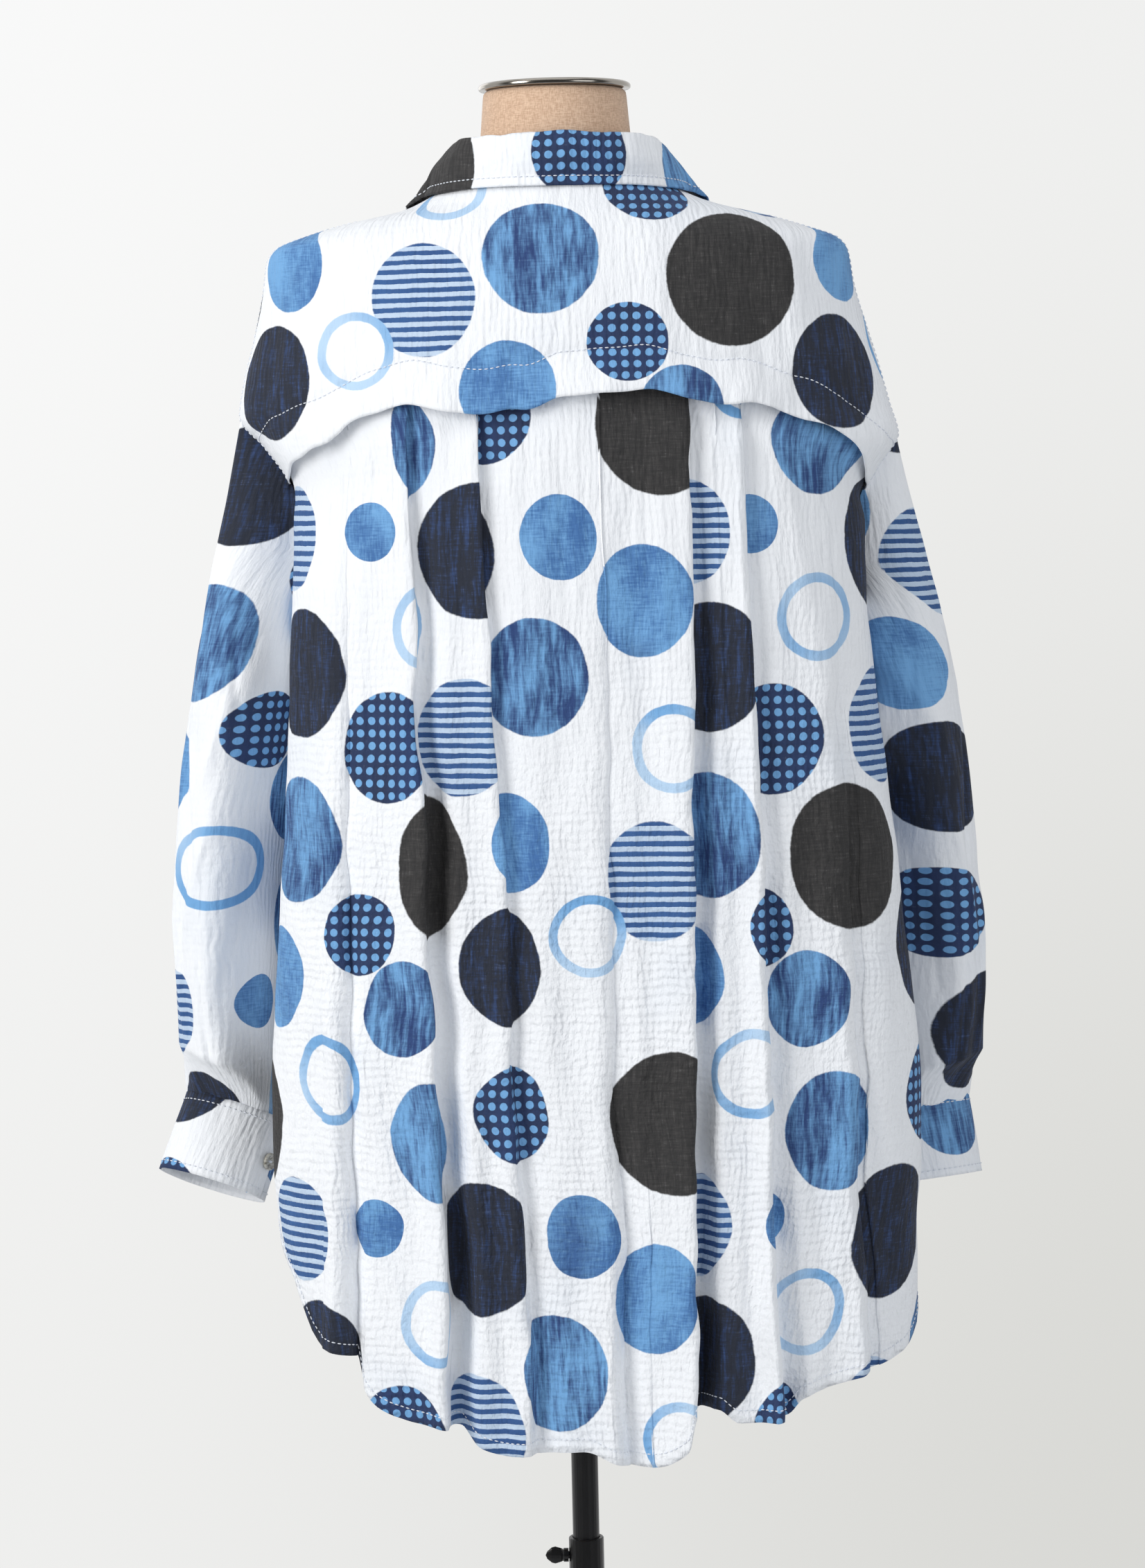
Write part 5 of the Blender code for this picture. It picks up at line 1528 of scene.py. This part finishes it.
def spun(mesh, profile, steps_round):
    """Turn a profile of (radius, height) round the Z axis."""
    points = [mesh.verts.new((radius, 0.0, height)) for radius, height in profile]
    edges = [mesh.edges.new(pair) for pair in zip(points, points[1:])]
    bmesh.ops.spin(mesh, geom=points + edges, cent=(0, 0, 0), axis=(0, 0, 1), angle=2.0 * math.pi,
                   steps=steps_round, use_merge=True)
    bmesh.ops.remove_doubles(mesh, verts=mesh.verts, dist=0.000002)
    bmesh.ops.recalc_face_normals(mesh, faces=mesh.faces)


# Half profile of a button, as shares of its radius and thickness
BUTTON_PROFILE = (
    (0.0, 0.60), (0.30, 0.60), (0.52, 0.66), (0.66, 0.86), (0.78, 0.99), (0.88, 0.98), (0.96, 0.84),
    (1.0, 0.60), (0.98, 0.32), (0.92, 0.08), (0.84, 0.0), (0.0, 0.0),
)


def button_master():
    """One button round the Z axis, with its two holes cut through."""
    mesh = bmesh.new()
    spun(mesh, [(BUTTON_RADIUS * out, BUTTON_THICKNESS * up) for out, up in BUTTON_PROFILE], BUTTON_CORNERS)
    body = add_object("button body", mesh, shell)
    mesh = bmesh.new()
    for aside in (-1, 1):
        bmesh.ops.create_cone(mesh, cap_ends=True, segments=16, radius1=BUTTON_HOLE_RADIUS,
                              radius2=BUTTON_HOLE_RADIUS, depth=BUTTON_THICKNESS * 4.0,
                              matrix=Matrix.Translation((aside * BUTTON_HOLE_OFFSET, 0.0, 0.0)))
    holes = add_object("button holes", mesh, shell)
    cut = body.modifiers.new("holes", "BOOLEAN")
    cut.operation = "DIFFERENCE"
    cut.object = holes
    made = bpy.data.meshes.new_from_object(body.evaluated_get(bpy.context.evaluated_depsgraph_get()))
    bpy.data.objects.remove(body, do_unlink=True)
    bpy.data.objects.remove(holes, do_unlink=True)
    return made


def sewing(mesh):
    """Thread over the button's bar and down its holes to the cloth."""
    top = BUTTON_THICKNESS * 0.60
    for aside in (-0.00045, 0.00005, 0.00050):
        bmesh.ops.create_uvsphere(
            mesh, u_segments=8, v_segments=8, radius=1.0,
            matrix=Matrix.Translation((0.0, aside, top + 0.0002))
            @ Matrix.Diagonal((BUTTON_HOLE_OFFSET * 1.15, 0.00030, 0.00042, 1.0)))
    for side in (-1, 1):
        bmesh.ops.create_cone(
            mesh, cap_ends=True, segments=8, radius1=0.00062, radius2=0.00062,
            depth=top + BUTTON_STAND_OFF,
            matrix=Matrix.Translation((side * BUTTON_HOLE_OFFSET, 0.0, (top - BUTTON_STAND_OFF) / 2.0)))


button_mesh = button_master()


def add_button(name, place, outward, turn):
    matrix = Vector((0, 0, 1)).rotation_difference(outward).to_matrix().to_4x4()
    matrix = matrix @ Matrix.Rotation(math.radians(turn), 4, "Z")
    matrix = Matrix.Translation(place + outward.normalized() * BUTTON_STAND_OFF) @ matrix
    mesh = bmesh.new()
    mesh.from_mesh(button_mesh)
    bmesh.ops.transform(mesh, matrix=matrix, verts=mesh.verts)
    add_worn(name + "_shell", mesh, shell, name)
    mesh = bmesh.new()
    sewing(mesh)
    bmesh.ops.transform(mesh, matrix=matrix, verts=mesh.verts)
    add_worn(name + "_thread", mesh, thread)


for i, turned in enumerate(BUTTON_TURNS):
    height = BUTTON_TOP_HEIGHT - i * BUTTON_PITCH
    slope = surface_y(0.0, height + 0.01, False) - surface_y(0.0, height - 0.01, False)
    place = Vector((0.0, surface_y(0.0, height, False), height))
    add_button(f"front_button_{i + 1}", place, Vector((0.0, -0.02, slope)), turned)
rise = stand_curve(180.0, 1.0)[0] - stand_curve(180.0, 0.0)[0]
add_button("collar_button", stand_curve(180.0, 0.5)[0], rise.cross(Vector((-1, 0, 0))), 8)
for side, word in ((1, "left"), (-1, "right")):
    place = cuff_point(side, CUFF_BUTTON_ANGLE, 0.55)
    add_button(f"{word}_cuff_button", place, cuff_point(side, CUFF_BUTTON_ANGLE, 0.55, 0.01) - place, 35)

# Dress form: height, half width, y of the back and the front. The shoulders follow the cloth over
# them, and state how far inside it they lie in place of a half width
FORM_NECK = (
    (1.4948, 0.0475, 0.0475, -0.0475),
    (1.4925, 0.0497, 0.0497, -0.0497),
    (1.4880, 0.0503, 0.0503, -0.0503),
    (1.4630, 0.0524, 0.0524, -0.0520),
    (1.4460, 0.0555, 0.0530, -0.0520),
    (1.4350, 0.0630, 0.0535, -0.0522),
)
FORM_SHOULDERS = (
    (1.428, 0.0130, 0.054, -0.052),
    (1.420, 0.0240, 0.057, -0.053),
    (1.412, 0.0160, 0.061, -0.054),
    (1.405, 0.0060, 0.067, -0.056),
    (1.398, 0.0002, 0.073, -0.058),
    (1.391, 0.0006, 0.078, -0.060),
)
FORM_SEAT_DROP = 0.0028
FORM_TORSO = (
    (1.383, 0.1945, 0.0830, -0.0630),
    (1.372, 0.1960, 0.0890, -0.0680),
    (1.350, 0.1950, 0.0960, -0.0780),
    (1.310, 0.1850, 0.1040, -0.0930),
    (1.250, 0.1700, 0.1060, -0.1040),
    (1.180, 0.1560, 0.1010, -0.1080),
    (1.100, 0.1430, 0.0880, -0.0980),
    (1.020, 0.1290, 0.0760, -0.0840),
    (0.940, 0.1380, 0.0900, -0.0870),
    (0.860, 0.1560, 0.1030, -0.0920),
    (0.800, 0.1600, 0.1010, -0.0900),
    (0.750, 0.1560, 0.0950, -0.0860),
    (0.735, 0.1520, 0.0910, -0.0830),
    (0.730, 0.1460, 0.0860, -0.0780),
)
FORM_CORNERS = 96
SOCKET_RADIUS = 0.0100
SOCKET_DEPTH = 0.050


def form_rows():
    rows = list(FORM_NECK)
    for height, inset, back_y, front_y in FORM_SHOULDERS:
        seat = height + FORM_SEAT_DROP
        rows.append((height, min(body_half[1](seat), body_half[-1](seat)) - inset, back_y, front_y))
    return rows + list(FORM_TORSO)


def add_form():
    """Padded torso and neck in one smooth skin, with a blind socket for the pole."""
    rows = form_rows()
    half, back_y, front_y = (track(rows, i) for i in range(1, 4))
    heights = []
    for start, end in zip(rows, rows[1:]):
        count = max(2, round((start[0] - end[0]) / 0.010))
        heights += [mix(start[0], end[0], i / count) for i in range(count)]
    heights.append(rows[-1][0])
    mesh = bmesh.new()
    rings = []
    floor = heights[-1]
    levels = [(height, None) for height in heights]
    levels += [(floor, SOCKET_RADIUS), (floor + SOCKET_DEPTH, SOCKET_RADIUS)]
    for height, radius in levels:
        ring = bmesh.ops.create_circle(mesh, cap_ends=False, segments=FORM_CORNERS, radius=1.0)["verts"]
        middle = body_widest(height) * 0.6
        for i, vertex in enumerate(ring):
            angle = 2.0 * math.pi * i / FORM_CORNERS
            if radius:
                vertex.co = (radius * math.sin(angle), radius * math.cos(angle), height)
            else:
                reach = back_y(height) - middle if math.cos(angle) >= 0.0 else middle - front_y(height)
                vertex.co = (half(height) * math.sin(angle), middle + reach * math.cos(angle), height)
        rings.append(ring)
    for above, below in zip(rings, rings[1:]):
        for i in range(FORM_CORNERS):
            k = (i + 1) % FORM_CORNERS
            mesh.faces.new((above[i], above[k], below[k], below[i]))
    mesh.faces.new(rings[0])
    mesh.faces.new(rings[-1])
    bmesh.ops.recalc_face_normals(mesh, faces=mesh.faces)
    add_worn("dress_form_cover", mesh, linen, "dress_form")


add_form()
state_cuts()

# Neck cap and stand
CAP_RADIUS = 0.0532
CAP_THICKNESS = 0.0048
CAP_TOP = 1.500
CAP_CORNERS = 128


# Half profile of the cap: share of its radius, and drop below its top or rise above its underside
CAP_UPPER = ((0.0, 0.0), (0.60, 0.0001), (0.90, 0.0003), (0.960, 0.0006), (0.985, 0.0013), (0.998, 0.0022),
             (1.0, 0.0028))
CAP_LOWER = ((1.0, 0.0012), (0.995, 0.0004), (0.985, 0.0), (0.0, 0.0))


def add_cap():
    under = CAP_TOP - CAP_THICKNESS
    mesh = bmesh.new()
    spun(mesh, [(CAP_RADIUS * out, CAP_TOP - drop) for out, drop in CAP_UPPER]
         + [(CAP_RADIUS * out, under + rise) for out, rise in CAP_LOWER], CAP_CORNERS)
    add_worn("neck_cap_disc", mesh, chrome, "neck_cap")


add_cap()
for node in ("base_plate", "outer_tube", "inner_pole", "thumb_screw"):
    for slot in bpy.data.objects[node].material_slots:
        slot.material = pole_black if node == "inner_pole" else black

# Floor
FLOOR_RADIUS = 1.30
FLOOR_HEIGHT = -0.0006
mesh = bmesh.new()
bmesh.ops.create_circle(mesh, cap_ends=True, segments=64, radius=FLOOR_RADIUS,
                        matrix=Matrix.Translation((0.0, 0.0, FLOOR_HEIGHT)))
floor_finish = Finish("studio floor", (0.80, 0.81, 0.82), 0.7)
floor_finish.give("Base Color", floor_finish.blend(
    (0.79, 0.80, 0.81), (0.83, 0.84, 0.85),
    floor_finish.noise(floor_finish.on_object(), 6.0, 3.0)))
add_object("studio_floor", mesh, floor_finish.material, False)

# Camera: square on to the back, a little above the middle and tilted down
CAMERA_PLACE = Vector((0.0, 3.0, 1.230))
CAMERA_TILT = 4.2
CAMERA_ROLL = 1.26
PHOTO_HEIGHT = 2263.0
FOCUS_IN_PIXELS = 6150.0
SHIFT_IN_PIXELS = 4.0
SENSOR = 36.0


def add_camera():
    tilt, roll = math.radians(CAMERA_TILT), math.radians(CAMERA_ROLL)
    forward = Vector((0.0, -math.cos(tilt), -math.sin(tilt)))
    level = Vector((-1.0, 0.0, 0.0))
    upright = level.cross(forward)
    right = level * math.cos(roll) - upright * math.sin(roll)
    up = level * math.sin(roll) + upright * math.cos(roll)
    data = bpy.data.cameras.new("camera")
    data.sensor_width = SENSOR
    data.sensor_height = SENSOR
    data.sensor_fit = "VERTICAL"
    data.lens = SENSOR * FOCUS_IN_PIXELS / PHOTO_HEIGHT
    data.shift_x = SHIFT_IN_PIXELS / PHOTO_HEIGHT
    made = bpy.data.objects.new("camera", data)
    columns = (right, up, -forward, CAMERA_PLACE)
    made.matrix_world = Matrix([[column[row] for column in columns] for row in range(3)] + [[0, 0, 0, 1]])
    bpy.context.scene.collection.objects.link(made)
    bpy.context.scene.camera = made


add_camera()

# Light: a large soft source on the picture's left, weak fill from the right, bright room
# (name, place, aim, width, height, watts, tint)
LIGHTS = (
    ("key", (2.6, 1.9, 1.9), (0.0, 0.0, 1.05), 1.3, 2.2, 71.0, (1.0, 0.985, 0.96)),
    ("fill", (-2.4, 2.4, 1.3), (0.0, 0.0, 1.0), 2.0, 2.4, 24.0, (0.97, 0.98, 1.0)),
    ("top", (0.2, 0.6, 3.0), (0.0, 0.0, 1.0), 2.0, 1.6, 10.0, (1.0, 1.0, 1.0)),
    ("rim", (1.4, -2.2, 1.8), (0.0, 0.0, 1.1), 1.6, 2.0, 9.0, (1.0, 1.0, 1.0)),
)


def add_lights():
    for name, place, aim, width, height, watts, tint in LIGHTS:
        data = bpy.data.lights.new(name, "AREA")
        data.shape = "RECTANGLE"
        data.size = width
        data.size_y = height
        data.energy = watts
        data.color = tint
        made = bpy.data.objects.new(name, data)
        made.location = place
        made.rotation_euler = (Vector(aim) - Vector(place)).to_track_quat("-Z", "Y").to_euler()
        bpy.context.scene.collection.objects.link(made)


# Painted shade of the backdrop: its darkening to the right, downward and in the corner, as shares
BACKDROP_LIGHT = (0.945, 0.947, 0.945)
BACKDROP_PAINTED_SHADE = (0.690, 0.690, 0.665)
BACKDROP_SHADE_SHARES = (0.30, 0.33, 0.37)
ROOM_BEHIND_CAMERA = 0.07
ROOM_LIGHT = 0.45


def add_world():
    """Bright room, dim behind the camera in reflections. The backdrop seen by the camera carries painted
    shade, darkening to the lower right.
    """
    world = bpy.data.worlds.new("studio")
    world.use_nodes = True
    bpy.context.scene.world = world
    tree = world.node_tree
    tree.nodes.clear()
    room = Shading(tree)
    place = room.node("TexCoord")
    aside = 1.0 - room.between(room.axis(place, 0), -0.15, 0.15)
    below = 1.0 - room.between(room.axis(place, 2), -0.26, 0.12)
    behind = room.between(room.axis(place, 1), -0.20, 0.20)
    right, lower, corner = BACKDROP_SHADE_SHARES
    share = aside * right + below * lower + aside * below * corner
    # Backdrop colour seen by the camera, with painted shade toward the lower right
    seen = room.node("Background", None, {"Color": room.blend(BACKDROP_LIGHT, BACKDROP_PAINTED_SHADE, share)})
    lit = room.node("Background", None, {"Color": (0.97, 0.985, 1.0, 1.0), "Strength": ROOM_LIGHT})
    dim = room.blend((0.9, 0.9, 0.9), (ROOM_BEHIND_CAMERA,) * 3, behind)
    mirrored = room.node("Background", None, {"Color": dim})
    camera_ray = room.node("LightPath", None, None, 0)
    glossy_ray = room.node("LightPath", None, None, 3)
    other = room.node("MixShader", None, {0: glossy_ray, 1: lit, 2: mirrored})
    surface = room.node("MixShader", None, {0: camera_ray, 1: other, 2: seen})
    tree.links.new(surface.socket, tree.nodes.new("ShaderNodeOutputWorld").inputs["Surface"])


add_lights()
add_world()
bpy.context.scene.view_settings.view_transform = "Standard"
